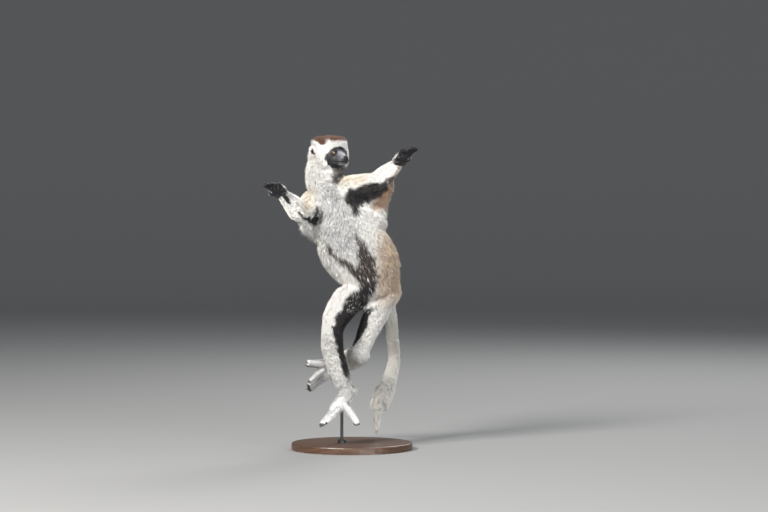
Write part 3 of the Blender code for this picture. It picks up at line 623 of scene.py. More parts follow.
def almond(side):
    """A prism with the outline of the opening between the lids, along the eye's gaze."""
    gaze = GAZE[side]
    out = across(gaze, LEFTWARD) * SIGNS[side]
    top = across(gaze, CROWNWARD)
    bm = bmesh.new()
    rings = []
    for depth, grow in ((0.002, 0.92), (0.018, 1.12)):
        ring = []
        for k in range(LID_POINTS):
            a = 2 * math.pi * k / LID_POINTS
            high = 0.0036 * max(math.sin(a), 0) ** 0.9 - 0.0044 * max(-math.sin(a), 0) ** 0.9
            lid = (out * 0.0074 * math.cos(a) + top * high) * grow
            ring.append(bm.verts.new(EYES[side] + gaze * depth + lid))
        rings.append(ring)
    inner, outer = rings
    for k in range(LID_POINTS):
        after = (k + 1) % LID_POINTS
        bm.faces.new((inner[k], inner[after], outer[after], outer[k]))
    bm.faces.new(inner[::-1])
    bm.faces.new(outer)
    return tool_from(bm)


split_face(skin.data, bare_face(points_of(skin.data)[0]) > 0.3)
tools = []
for side, sign in SIGNS.items():
    cup = EAR[side] + Vector((0.0050, 0.0050 * sign, 0.0))
    for place, size, turn in (
        (EYES[side], (0.00875, 0.00875, 0.00875), HEAD_TURN),
        (HEAD_PLACE @ cup, (0.0082, 0.0062, 0.0094), EAR_TURN[side]),
        (HEAD_PLACE @ Vector((0.0668, 0.0046 * sign, -0.0128)), (0.0030, 0.0019, 0.0015), HEAD_TURN),
    ):
        bm = bmesh.new()
        ball(bm, place, size, turn, segments=28)
        tools.append(tool_from(bm))
    tools.append(almond(side))
for tool in tools:
    cut = skin.modifiers.new("cut", "BOOLEAN")
    cut.operation = "DIFFERENCE"
    cut.solver = "MANIFOLD"
    cut.object = tool
applied(skin)
for tool in tools:
    bpy.data.objects.remove(tool)
split_face(skin.data, np.zeros(len(skin.data.vertices)))

places, normals = points_of(skin.data)
f, l, u = in_head(places).T
on_lips = smooth(0.028, 0.036, f) * smooth(0.021, 0.019, np.abs(l)) * smooth(-0.045, -0.040, u)
mouth = -0.0238 + 0.10 * (0.060 - f) * smooth(0.050, 0.030, f)
groove = -0.0016 * np.exp(-((u - mouth) / 0.0010) ** 2)
lips = 0.0007 * np.exp(-((np.abs(u - mouth) - 0.0028) / 0.0014) ** 2)
cleft = -0.0009 * np.exp(-(l / 0.0008) ** 2) * (f > 0.055)
cleft *= smooth(-0.022, -0.019, u) * smooth(-0.012, -0.015, u)
places += normals * ((groove + lips) * on_lips + cleft)[:, None]
skin.data.vertices.foreach_set("co", places.ravel())
skin.data.shade_smooth()
print("skin with its openings:", len(skin.data.polygons), "triangles")

# %% [markdown]
# The markings are one function of place, asked by the skin and by the coat alike, so the two can
# never disagree.  A sifaka is white, with a chestnut cap, a bare black face, a grey chest, a brown
# belly, and dark insides to its arms and legs.  Most patches are strokes: a line drawn on the
# animal from the front, in X and Z, with a width at each of its points and a soft edge.  Some of
# the marks are painted light: painted shadow under the chin, at the base of the neck and below the
# chest's fringe, warm painted shade on the left fold and the right flank, and a painted highlight
# on the muzzle.

# %% Markings
STROKES = {
    "chest": (((-0.052, 0.672), (-0.044, 0.610), (-0.016, 0.540)), (0.022, 0.040, 0.032), 0.016),
    "belly": (((0.006, 0.568), (0.024, 0.532), (0.032, 0.495), (0.037, 0.460), (0.038, 0.434)),
              (0.006, 0.014, 0.021, 0.026, 0.022), 0.010),
    # painted shadow: a dark line where the chest's fringe overhangs the belly
    "chest_fringe_shadow": (((-0.062, 0.546), (-0.046, 0.511), (-0.010, 0.482), (0.022, 0.460)),
              (0.003, 0.006, 0.008, 0.014), 0.010),
    "groin": (((0.050, 0.430), (0.030, 0.412), (0.026, 0.392)), (0.012, 0.018, 0.016), 0.010),
    "armpit": (((-0.006, 0.652), (0.012, 0.652)), (0.017, 0.020), 0.008),
    "below armpit": (((0.000, 0.636), (0.006, 0.612)), (0.013, 0.009), 0.012),
    "arm band": (((0.012, 0.654), (0.048, 0.664), (0.078, 0.672)), (0.020, 0.019, 0.013), 0.008),
    "wrist": (((0.078, 0.674), (0.104, 0.700)), (0.012, 0.006), 0.006),
    "far wrist": (((-0.176, 0.660), (-0.156, 0.636)), (0.006, 0.004), 0.004),
    "far armpit": (((-0.130, 0.606), (-0.100, 0.588), (-0.089, 0.602), (-0.089, 0.630)),
                   (0.003, 0.007, 0.008, 0.004), 0.007),
    "far veil": (((-0.140, 0.622), (-0.106, 0.604)), (0.010, 0.016), 0.012),
    # warm painted shade on the thin skin between the left arm and the body
    "fold_shade": (((0.058, 0.632), (0.088, 0.644), (0.108, 0.668), (0.127, 0.713)),
             (0.012, 0.025, 0.024, 0.013), 0.008),
    "shoulder": (((-0.022, 0.690), (0.028, 0.690)), (0.010, 0.006), 0.016),
    "far upper arm": (((-0.104, 0.665), (-0.112, 0.622)), (0.008, 0.008), 0.016),
    # painted shadow under the chin, brown and grey
    "chin_shadow": (((-0.035, 0.724), (-0.037, 0.700)), (0.020, 0.021), 0.008),
    # painted shadow in the crease where the neck meets the shoulder
    "collar": (((-0.058, 0.672), (-0.040, 0.646)), (0.012, 0.018), 0.016),
}
# side, the way the band faces, its edge round the bone, its strength, where it ends on the shin,
# where the shin takes over from the thigh, on each of the two, and how it narrows at the knee
LEG_BANDS = (
    ("right", 1, (-0.50, 0.38), 0.95, (1.20, 0.28), (0.93, 1.00), (-2, -1), (0.32, 0.80, 1.00)),
    ("left", -1, (0.30, 0.66), 0.90, (0.25, 0.05), (0.72, 1.00), (-0.20, 0.34), (0.55, 0.72, 1.04)),
)


def wavering(points):
    """Points moved a few millimetres by slow waves, so that no marking has a ruled edge."""
    x, y, z = points.T * 2 * math.pi
    shift = (np.sin(z / 0.043 + 1.3) + np.sin(z / 0.019 + x / 0.051),
             np.sin(x / 0.037 + z / 0.061),
             np.sin(x / 0.031 + 0.4) + np.sin(y / 0.027 + z / 0.053))
    return points + 0.0016 * np.stack(shift, axis=1)


def stroke(points, name):
    """1 on a stroke, falling softly to 0 beyond its width."""
    line, widths, soft = STROKES[name]
    best = np.full(len(points), 1e9)
    flat = points[:, [0, 2]]
    for (a, b), (wa, wb) in zip(zip(line, line[1:]), zip(widths, widths[1:])):
        a, run = np.array(a), np.array(b) - np.array(a)
        t = np.clip((flat - a) @ run / (run @ run), 0, 1)
        best = np.minimum(best, np.linalg.norm(flat - a - t[:, None] * run, axis=1) - wa - (wb - wa) * t)
    return 1 - smooth(-soft, soft, best)


def beside(points, a, b, towards):
    """How far round a bone each point lies: 1 on the side that faces towards, -1 on the other."""
    a, run = np.array(a), np.array(b) - np.array(a)
    t = np.clip((points - a) @ run / (run @ run), 0, 1)
    out = points - a - t[:, None] * run
    out -= (out @ run)[:, None] * run / (run @ run)
    out /= np.linalg.norm(out, axis=1)[:, None] + 1e-9
    aim = np.array(towards) - run * (np.array(towards) @ run) / (run @ run)
    return out @ (aim / np.linalg.norm(aim)), t


def of(part, *names):
    """True where a point belongs to one of those parts."""
    return np.isin(part, [PARTS.index(name) for name in names])


def on_skull(points):
    """True where the head is."""
    return gap_to(in_head(points), (0, 0, 0)) < 0.080


def head_marks(points, normals, part):
    """The bare face with a painted highlight on the top of the muzzle and the lower lips, the ears' openings
    and the chestnut cap.
    """
    f, l, u = in_head(points).T
    black = smooth(0.02, 0.40, bare_face(points)) * on_skull(points)
    jaw = smooth(0.030, 0.036, f) * smooth(0.010, 0.000, u) * smooth(-0.050, -0.046, u)
    jaw *= smooth(0.078, 0.072, np.hypot(f, u)) * smooth(0.028, 0.022, np.abs(l))
    black = np.maximum(black, jaw)
    # Painted highlight: pale bluish grey on the top of the muzzle and along the lower lip.
    bridge_highlight = np.exp(-(l / 0.0095) ** 2) * smooth(0.030, 0.044, f) * smooth(0.011, -0.001, u)
    bridge_highlight *= smooth(-0.0180, -0.0120, u) * smooth(0.0650, 0.0580, f)
    lip_highlight = np.exp(-((u + 0.0295) / 0.0024) ** 2) * smooth(0.044, 0.052, f) * 0.6
    pale = np.maximum(bridge_highlight, lip_highlight) * on_skull(points)
    for side, sign in SIGNS.items():
        opening = np.array(EAR[side] + Vector((0.004, 0.004 * sign, -0.0035)))
        df, dl, du = (in_head(points) - opening).T
        slit = np.stack([(df - du) / 0.0130, dl / 0.0095, (df + du) / 0.0080], axis=1)
        outward = np.array(HEAD_TURN @ Vector((0.75, 0.65 * sign, 0.0)))
        cup = (1 - smooth(0.8, 1.1, np.linalg.norm(slit, axis=1))) * smooth(-0.15, 0.25, normals @ outward)
        black = np.maximum(black, 0.95 * cup)
    beyond = smooth(0.014, 0.030, np.abs(l))
    hairline = 0.0215 + 0.10 * np.maximum(f, 0) + np.minimum(f, 0) * (0.35 - 1.05 * beyond)
    hairline += 100 * np.abs(l) ** 3
    hairline -= 0.008 * np.exp(-((np.abs(l) - 0.033) / 0.008) ** 2 - ((f - 0.019) / 0.010) ** 2)
    return black, of(part, "head") * smooth(-0.003, 0.003, u - hairline), pale


def leg_marks(points, part):
    """The dark inside of the right leg down to the calf, and a dark edge along the left thigh."""
    black = np.zeros(len(points))
    for side, facing, edge, strength, fade, on_thigh, on_shin, (narrower, *knee) in LEG_BANDS:
        hip, bend, ankle = along(side, "hip", "knee", "ankle")
        round_thigh, t = beside(points, hip, bend, (facing, 0, 0))
        round_shin, s = beside(points, bend, ankle, (facing, 0, 0))
        down = smooth(*on_shin, s) * smooth(*on_thigh, t)
        around = round_thigh * (1 - down) + round_shin * down - narrower * smooth(*knee, t)
        band = of(part, f"leg_{side}") * strength * smooth(*edge, around) * smooth(*fade, s)
        black = np.maximum(black, band)
    return black


def arm_marks(points, part, front, facing):
    """Dark undersides of the arms, cream shoulders, and warm painted shade on the skin between the left arm
    and the body.
    """
    near, far = of(part, "trunk", "arm_left"), of(part, "trunk", "arm_right")
    band = stroke(points, "arm band")
    armpit = np.maximum(stroke(points, "armpit"), stroke(points, "below armpit") * 0.82)
    black = np.maximum(armpit * 0.95, band * 0.62) * front * near
    brown = np.maximum(band, stroke(points, "wrist") * 0.55) * front * near
    far_black = np.maximum(stroke(points, "far wrist") * 0.85, stroke(points, "far armpit") * 0.8)
    black = np.maximum(black, far_black * front * far)
    brown = np.maximum(brown, stroke(points, "far veil") * 0.33 * front * far)
    cream = np.maximum(stroke(points, "shoulder"), stroke(points, "far upper arm")) * front * 0.85
    return black, brown, cream, stroke(points, "fold_shade") * near * smooth(1.3, 0.3, facing)


def along_paw(points, side, start, end):
    """How far along a hand or foot each point is, from 0 to 1, and the paw's root and run."""
    root, tip = along(side, start, end)
    run = tip - root
    return (points - np.array(root)) @ np.array(run) / run.length_squared, root, run


def paw_marks(points, normals, part):
    """Palms, soles and the tips of all digits are black."""
    black = np.zeros(len(points))
    for side in SIDES:
        out, wrist, run = along_paw(points, side, "wrist", "fingers")
        hand = of(part, f"arm_{side}") & (gap_to(points, wrist + run * 0.55) < 0.064)
        palm = smooth(-0.20, 0.05, normals @ np.array(PALMS[side]))
        black = np.maximum(black, hand * np.maximum(palm, smooth(0.40, 0.56, out)) * smooth(0.0, 0.06, out))
        out, heel, run = along_paw(points, side, "heel", "toes")
        foot = of(part, f"leg_{side}") & (gap_to(points, heel + run * 0.5) < 0.095)
        under = normals @ np.array(SOLES[side])
        sole = smooth(0.10, 0.40, under + 0.35 * smooth(0.45, 0.65, out))
        great = 1 - smooth(0.006, 0.013, gap_to(points, JOINT[f"hallux_{side}"]))
        toe_tip = np.maximum(smooth(0.91, 0.97, out), great * smooth(-0.75, 0.1, under))
        black = np.maximum(black, foot * np.maximum(sole * 0.95, toe_tip * 0.9) * smooth(-0.02, 0.03, out))
    return black


def markings(points, normals, part):
    """Shares of black, brown, chestnut, grey, cream and painted light at each point.  Brown and grey also
    carry painted shadow, and cream carries painted shade on the right side.
    """
    front = smooth(0.35, -0.25, normals[:, 1])
    moved = wavering(points)
    height = moved[:, 2]
    trunk = of(part, "trunk")
    face, chestnut, pale = head_marks(points, normals, part)
    under, under_brown, cream, fold_shade = arm_marks(moved, part, front, normals[:, 1])
    groin = stroke(moved, "groin") * front * 0.85 * of(part, "trunk", "leg_left", "leg_right")
    black = np.max([face, groin, leg_marks(moved, part), under, paw_marks(points, normals, part)], axis=0)
    belly = stroke(moved, "belly") * (0.60 + 0.40 * smooth(0.545, 0.495, height))
    # Brown is the belly's own colour, and painted shadow along the chest's fringe.
    brown = np.maximum(belly, stroke(moved, "chest_fringe_shadow") * 0.90) * front * trunk
    brown = np.maximum(brown, under_brown) * (1 - black * 0.5)
    # Painted shade: the right flank, turned from the light, is given warm tan and cream.
    flank_shade = smooth(0.042, 0.084, moved[:, 0]) * smooth(0.610, 0.530, height) * smooth(0.360, 0.430, height)
    flank_shade *= of(part, "trunk", "leg_left")
    # Painted shadow below the chin, in brown and grey.
    chin_shadow = stroke(moved, "chin_shadow") * smooth(0.736, 0.728, height) * smooth(0.50, -0.05, normals[:, 1])
    chin_shadow *= of(part, "trunk", "head")
    # Painted shadow in the crease at the base of the neck.
    collar = stroke(moved, "collar") * front * trunk
    # Brown and grey here hold the real belly and chest colours and also painted shadow under the chin and at
    # the base of the neck.
    brown = np.max([brown, 0.62 * chin_shadow, 0.40 * collar], axis=0)
    grey = np.max([stroke(moved, "chest") * 0.75 * front * trunk, 0.9 * chin_shadow, 0.8 * collar], axis=0)
    # The painted light: warm painted shade on the left fold and the right flank, and the painted highlight on
    # the muzzle.
    painted_light = np.max([fold_shade, 0.62 * flank_shade, pale], axis=0)
    back = smooth(0.2, 0.8, normals[:, 1])
    # Cream is the coat's own tint on shoulders, back and tail, and painted shade on the right flank.
    cream = np.max([cream, 0.65 * flank_shade, 0.16 * of(part, "tail"), 0.30 * back], axis=0)
    return np.stack([black, brown, chestnut, grey, cream, painted_light], axis=1).clip(0, 1)


triangles = np.empty(len(skin.data.polygons) * 3, int)
skin.data.loops.foreach_get("vertex_index", triangles)
triangles = triangles.reshape(-1, 3)
places, normals = points_of(skin.data)
field = body_field(places)
part = BONES[field["bone"], PART].astype(int)
marks = markings(places, normals, part)
bare = bare_face(places) * on_skull(places)
for name, share in zip(("black", "brown", "chestnut", "grey", "cream", "painted_light"), marks.mean(axis=0)):
    print(f"  {name}: {share * 100:.1f} % of the skin's points")

# %% [markdown]
# Hair has a lie.  On the limbs and trunk it follows the bones, and on the head it spreads back
# from the face like the rays of a ruff.  On the thin folds it hangs.  The direction is pressed
# flat on the skin at each point and then calmed over the surface, so that neighbours agree.

# %% The lie of the coat
f, l, u = in_head(places).T
from_face = in_head(places) - np.array([0.034, 0.0, -0.012])
from_face[:, 0] -= 0.030 * smooth(0.0, 0.04, np.abs(from_face[:, 2]) + np.abs(from_face[:, 1]))
rays = from_face @ np.array(HEAD_TURN).T
rays /= np.linalg.norm(rays, axis=1)[:, None] + 1e-9
rays += np.array([0, 0, -0.9]) * smooth(0.0, -0.05, u)[:, None]
on_head = of(part, "head") * smooth(0.070, 0.055, np.sqrt(f ** 2 + l ** 2 + u ** 2))
lie = field["way"] * (1 - on_head[:, None]) + rays * on_head[:, None]
hanging = smooth(0.000, 0.010, field["gap"]) * of(part, "arm_left", "arm_right", "leg_left", "leg_right")
lie += np.array([0, 0, -1.6]) * hanging[:, None]

def flattened(ways, normals):
    """Directions pressed flat on the surface, of length 1."""
    ways = ways - normals * np.sum(ways * normals, axis=1)[:, None]
    return ways / (np.linalg.norm(ways, axis=1)[:, None] + 1e-9)

lie = flattened(calmed(skin.data, flattened(lie, normals), 14), normals)
room = np.array([tree.find_nearest(Vector(p))[3] for p in places])
depth_here = calmed(skin.data, np.minimum(room, coat_depth(places) * 1.8 + 0.001), 4)
length_here = np.where(on_head > 0.5, 0.0075 + 0.0065 * smooth(0.035, -0.02, f), field["hair"])
near_ear = np.min([gap_to(in_head(places), EAR[side]) for side in SIDES], axis=0)
aside = np.abs(l)
nape = smooth(0.004, -0.016, f) * smooth(0.020, 0.034, aside) * smooth(0.034, 0.022, u)
nape *= smooth(-0.064, -0.048, u)
temple = smooth(0.020, 0.002, f) * smooth(0.016, 0.028, aside) * smooth(0.014, 0.024, u)
temple *= smooth(0.050, 0.038, u)
lifted = smooth(0.004, 0.020, f) * smooth(0.018, 0.028, u) * smooth(0.036, 0.020, aside)
fuller = np.max([0.0110 * nape, 0.0120 * temple, 0.0022 * lifted], axis=0) * on_head
ruff = smooth(-0.084, -0.104, places[:, 0]) * smooth(0.650, 0.690, places[:, 2]) * of(part, "trunk", "head")
depth_here += np.maximum(fuller, 0.0060 * ruff) * smooth(0.011, 0.019, near_ear)
club = smooth(0.172, 0.150, places[:, 2]) * smooth(0.092, 0.106, places[:, 2]) * of(part, "tail")
depth_here += 0.0050 * club
corner = brow_corner(f, l, u) * on_head
depth_here *= 1 - 0.65 * corner
length_here *= 1 - 0.40 * corner
length_here = np.maximum(length_here * (1 + 0.5 * hanging) + 0.010 * club, depth_here * 1.25)
print("mean lie:", lie.mean(axis=0).round(2))

# %% [markdown]
# The coat is thousands of solid tufts.  One tuft is a slender three-sided spike of ten triangles:
# a root ring, a ring at its bend, and a tip.  It rises from the skin and bends over along the lie
# of the coat, so its tip ends near the outline that the frame gives.  Tufts near each other lean
# to a shared tip and so make locks.  They are placed with arrays and not as instances, because
# every tuft asks the skin for its own direction, length and marking.

# %% Tufts
TUFTS_PER_LOCK = 16
LOOSE_SHARE, LOOSER = 0.12, 1.25    # this share of the tufts stands out by this much
SWING = 0.16                        # how far a tuft strays from the lie, in radians
PATCH = 0.003                       # how big a tuft's own patch is on the unwrap
SPIKE = (0, 1, 4, 3, 1, 2, 5, 4, 2, 0, 3, 5, 3, 4, 6, 4, 5, 6, 5, 3, 6, 2, 1, 0)
SPIKE_FACES = (4, 4, 4, 3, 3, 3, 3)
corner_a, corner_b, corner_c = (places[triangles[:, k]] for k in range(3))
AREAS = np.linalg.norm(np.cross(corner_b - corner_a, corner_c - corner_a), axis=1) / 2


def scattered(weight, count, dice):
    """Roots at random on the skin, as many on each triangle as its weight asks: the triangle and
    the shares of its three corners."""
    reach = np.cumsum(AREAS * weight)
    chosen = np.searchsorted(reach, dice.random(count) * reach[-1])
    a, b = np.sqrt(dice.random(count)), dice.random(count)
    return chosen, np.stack([1 - a, a * (1 - b), a * b], axis=1)


def mixed(values, chosen, shares):
    """Values of the skin's points, read at the roots."""
    return np.einsum("nk,nk...->n...", shares, values[triangles[chosen]])


def rolled_open(chosen, roots):
    """Where each root is on a flat unwrap of the skin: every tube slit along its length and rolled
    open, side by side."""
    corner = triangles[chosen, 0]
    bones = BONES[field["bone"][corner]]
    run = bones[:, END] - bones[:, START]
    run /= np.linalg.norm(run, axis=1)[:, None]
    first = flattened(np.tile([1.0, 0.1, 0.0], (len(run), 1)), run)
    out = roots - bones[:, START]
    turn = np.arctan2(np.sum(out * np.cross(run, first), axis=1), np.sum(out * first, axis=1))
    turn = turn / (2 * math.pi) + 0.5
    tubes = bones[:, TUBE].astype(int)
    down = field["place"][corner] + np.sum(out * run, axis=1)
    u, v = np.zeros(len(roots)), np.zeros(len(roots))
    kinds = np.unique(tubes)
    for column, kind in enumerate(kinds):
        here = tubes == kind
        low, high = down[here].min(), down[here].max()
        u[here] = (column + 0.03 + 0.94 * turn[here]) / len(kinds)
        v[here] = 0.006 + 0.982 * (down[here] - low) / max(high - low, 1e-6)
    return np.stack([u, v], axis=1).clip(0.002, 0.994)


def tuft_mesh(name, roots, bend, tip, normals, ways, widths, colours, tone, flat):
    """One mesh of all the tufts, with their markings and their patches on the unwrap."""
    count = len(roots)
    sides = np.cross(ways, normals)
    half, thick = widths[:, None] * 0.5, widths[:, None] * 0.42
    base = roots - normals * 0.0007
    ring_0 = [base + normals * thick * 0.8, base + sides * half, base - sides * half]
    ring_1 = [bend + normals * thick * 0.7, bend + sides * half * 0.85, bend - sides * half * 0.85]
    corners = np.stack(ring_0 + ring_1 + [tip], axis=1).reshape(-1, 3)
    loops = (np.arange(count)[:, None] * 7 + np.array(SPIKE)).ravel()
    sizes = np.tile(SPIKE_FACES, count)
    mesh = bpy.data.meshes.new(name)
    mesh.vertices.add(count * 7)
    mesh.vertices.foreach_set("co", corners.astype(np.float32).ravel())
    mesh.loops.add(len(loops))
    mesh.loops.foreach_set("vertex_index", loops.astype(np.int32))
    mesh.polygons.add(len(sizes))
    mesh.polygons.foreach_set("loop_start", np.concatenate([[0], np.cumsum(sizes)[:-1]]).astype(np.int32))
    mesh.update(calc_edges=True)
    patch = []
    for k in range(3):
        patch += [(k / 3, 0.15), ((k + 1) / 3, 0.15), ((k + 1) / 3, 0.6), (k / 3, 0.6)]
    for k in range(3):
        patch += [(k / 3, 0.6), ((k + 1) / 3, 0.6), ((k + 0.5) / 3, 1.0)]
    patch += [(0, 0), (1, 0), (0.5, 0.13)]
    uv = flat[:, None, :] + np.array(patch) * PATCH
    mesh.uv_layers.new(name="OFBake").data.foreach_set("uv", uv.astype(np.float32).ravel())
    write_marks(mesh, np.repeat(colours, 7, axis=0), np.tile([0, 0, 0, 0.5, 0.5, 0.5, 1.0], count),
                np.repeat(tone, 7))
    mesh.validate()
    mesh.shade_smooth()
    return mesh


def write_marks(mesh, colours, along_hair, tone):
    """Store the markings on a mesh's points, for its material to read."""
    # The strand's last channel holds the painted light.
    strand = np.stack([along_hair, tone, colours[:, 4], colours[:, 5]], axis=1)
    for name, columns in (("marks", colours[:, :4]), ("strand", strand)):
        layer = mesh.color_attributes.new(name, "FLOAT_COLOR", "POINT")
        layer.data.foreach_set("color", columns.astype(np.float32).ravel())


def coat(name, where, count, width, locks, seed):
    """A piece of coat on the part of the skin where the weight is over 0."""
    dice = np.random.default_rng(seed)
    chosen, shares = scattered(where[triangles].mean(axis=1), count, dice)
    roots, ups = mixed(places, chosen, shares), mixed(normals, chosen, shares)
    ups /= np.linalg.norm(ups, axis=1)[:, None]
    ways = flattened(mixed(lie, chosen, shares), ups)
    ways = ways + np.cross(ups, ways) * dice.normal(0, SWING, count)[:, None]
    ways /= np.linalg.norm(ways, axis=1)[:, None]
    lengths = mixed(length_here, chosen, shares) * dice.uniform(0.75, 1.15, count)
    loose = np.where(dice.random(count) < LOOSE_SHARE, LOOSER, 1.0)
    full = mixed(depth_here, chosen, shares) * dice.uniform(0.62, 1.06, count) * loose
    rises = np.minimum(full, lengths * 0.85)
    ahead = np.sqrt(lengths ** 2 - rises ** 2)
    tips = roots + ways * ahead[:, None] + ups * rises[:, None]
    bends = roots + ways * (ahead * 0.45)[:, None] + ups * (rises * 0.72)[:, None]
    centres = dice.choice(count, count // TUFTS_PER_LOCK, replace=False)
    finder = KDTree(len(centres))
    for c in centres:
        finder.insert(roots[c], int(c))
    finder.balance()
    lock = np.array([finder.find(p)[1] for p in roots])
    near = np.linalg.norm(roots - roots[lock], axis=1)
    pull = (mixed(locks, chosen, shares) * smooth(0.016, 0.004, near))[:, None]
    tips += (tips[lock] - tips) * pull
    bends += (bends[lock] - bends) * pull * 0.35
    widths = np.minimum(width * dice.uniform(0.75, 1.25, count), lengths * 0.16)
    colours = mixed(hair_marks, chosen, shares)
    per_lock = dice.random(count)[lock]
    tone = 0.6 * dice.random(count) + 0.4 * dice.random(count)[lock]
    pale = (per_lock < 0.03) | (dice.random(count) < 0.07)
    colours[:, :2] *= np.where(pale & (mixed(salted, chosen, shares) > 0.5), 0.25, 1.0)[:, None]
    colours[:, 3] *= 0.35 + 1.3 * per_lock
    flat = rolled_open(chosen, roots)
    print(f"  {name}: {count} tufts, {count * 10} triangles, mean length {lengths.mean() * 1000:.1f} mm")
    return added(name, tuft_mesh(name, roots, bends, tips, ups, ways, widths, colours, tone, flat))


# %% [markdown]
# The coat is made in nine pieces, so that each stays light.  The weight thins it by a third on the
# grey chest, thickens it on the backs of the paws, where hair is short, and leaves none on the
# face, palms and soles.  Beside the ears and in the left fold the hair is shorter.

# %% The coat, piece by piece
black, brown, chestnut, grey, cream, painted_light = marks.T
height = places[:, 2]
near_digit = np.min([gap_to(places, tip) for tip, _, _, _ in DIGITS], axis=0)
thickly = (1 - smooth(0.40, 0.75, bare)) * (1 - 0.35 * grey) * smooth(0.003, 0.010, near_digit)
thickly *= 1 - of(part, "head") * (bare < 0.02) * smooth(0.4, 0.8, black)
hair_marks = marks.copy()
hair_marks[:, 0] *= 1 - on_skull(places)
hair_marks[:, [3, 5]] *= (bare < 0.01)[:, None]
on_paw = np.zeros(len(places))
for side in SIDES:
    for limb, start, end, edge in (("arm", "wrist", "fingers", 0.05), ("leg", "heel", "toes", 0.0)):
        out, root, run = along_paw(places, side, start, end)
        close = gap_to(places, root + run * 0.5) < run.length * 0.62
        on_paw = np.maximum(on_paw, of(part, f"{limb}_{side}") * (out > edge) * close)
thickly *= (1 + 0.9 * on_paw) * (1 - on_paw * smooth(0.25, 0.7, black))
# Painted shade: the hair on the feet is greyed.
hair_marks[:, 3] = np.maximum(hair_marks[:, 3], 0.5 * on_paw * of(part, "leg_left", "leg_right"))
# The painted-light mask also marks the left fold, where the hair is shorter.
in_fold = painted_light * smooth(0.600, 0.615, height) * smooth(0.705, 0.690, height)
by_ear = 1 - 0.50 * smooth(0.021, 0.013, near_ear)
length_here *= (1 - 0.35 * on_paw) * (1 - 0.60 * in_fold) * by_ear
depth_here *= by_ear
locks = 0.12 + 0.12 * grey + 0.45 * brown + 0.2 * hanging
salted = smooth(0.33, 0.38, height) * smooth(0.600, 0.570, height)
trunk = of(part, "trunk")
COAT = (        # name, where, number of tufts, width of a tuft
    ("coat_head", of(part, "head"), 18900, 0.00080),
    ("coat_chest", trunk & (height > 0.575), 18900, 0.00110),
    ("coat_belly", trunk & (height <= 0.575) & (height > 0.470), 17500, 0.00115),
    ("coat_hips", trunk & (height <= 0.470), 16500, 0.00115),
    ("coat_arm_left", of(part, "arm_left"), 15500, 0.00110),
    ("coat_arm_right", of(part, "arm_right"), 14500, 0.00110),
    ("coat_leg_left", of(part, "leg_left"), 15500, 0.00110),
    ("coat_leg_right", of(part, "leg_right"), 16500, 0.00110),
    ("coat_tail", of(part, "tail"), 14000, 0.00120),
)
coats = []
for seed, (name, region, count, width) in enumerate(COAT):
    coats.append(coat(name, thickly * region, count, width, locks, seed + 7))
# Painted shade: the skin of the hands and feet is greyed under their short hair.
marks[:, 3] = np.maximum(marks[:, 3], 0.6 * on_paw)
fringe = calmed(skin.data, black * on_skull(places), 6)
marks[:, 0] = np.maximum(marks[:, 0], smooth(0.12, 0.40, fringe))
write_marks(skin.data, marks, np.zeros(len(places)), np.full(len(places), 0.5))
print("coat:", sum(row[2] for row in COAT), "tufts")

# %% [markdown]
# Shader maths reads best as plain sums, so one small class wraps a socket and gives it + - * and /.
# A second one is a material's workbench: it adds any node by its type.

# %% Writing materials as sums
class Wire:
    """One output of a node, which can be added to and multiplied."""

    def __init__(self, bench, socket):
        self.bench, self.socket = bench, socket

    def _math(self, operation, first, second):
        node = self.bench.node("ShaderNodeMath", {"operation": operation}, {0: first, 1: second})
        return node.wire(0)

    def __add__(self, other):
        return self._math("ADD", self, other)

    def __sub__(self, other):
        return self._math("SUBTRACT", self, other)

    def __rsub__(self, other):
        return self._math("SUBTRACT", other, self)

    def __mul__(self, other):
        return self._math("MULTIPLY", self, other)

    def __truediv__(self, other):
        return self._math("DIVIDE", self, other)

    __radd__, __rmul__ = __add__, __mul__


class Made:
    """A node just made, whose outputs can be asked for as wires."""

    def __init__(self, bench, node):
        self.bench, self.node = bench, node

    def wire(self, output):
        return Wire(self.bench, self.node.outputs[output])


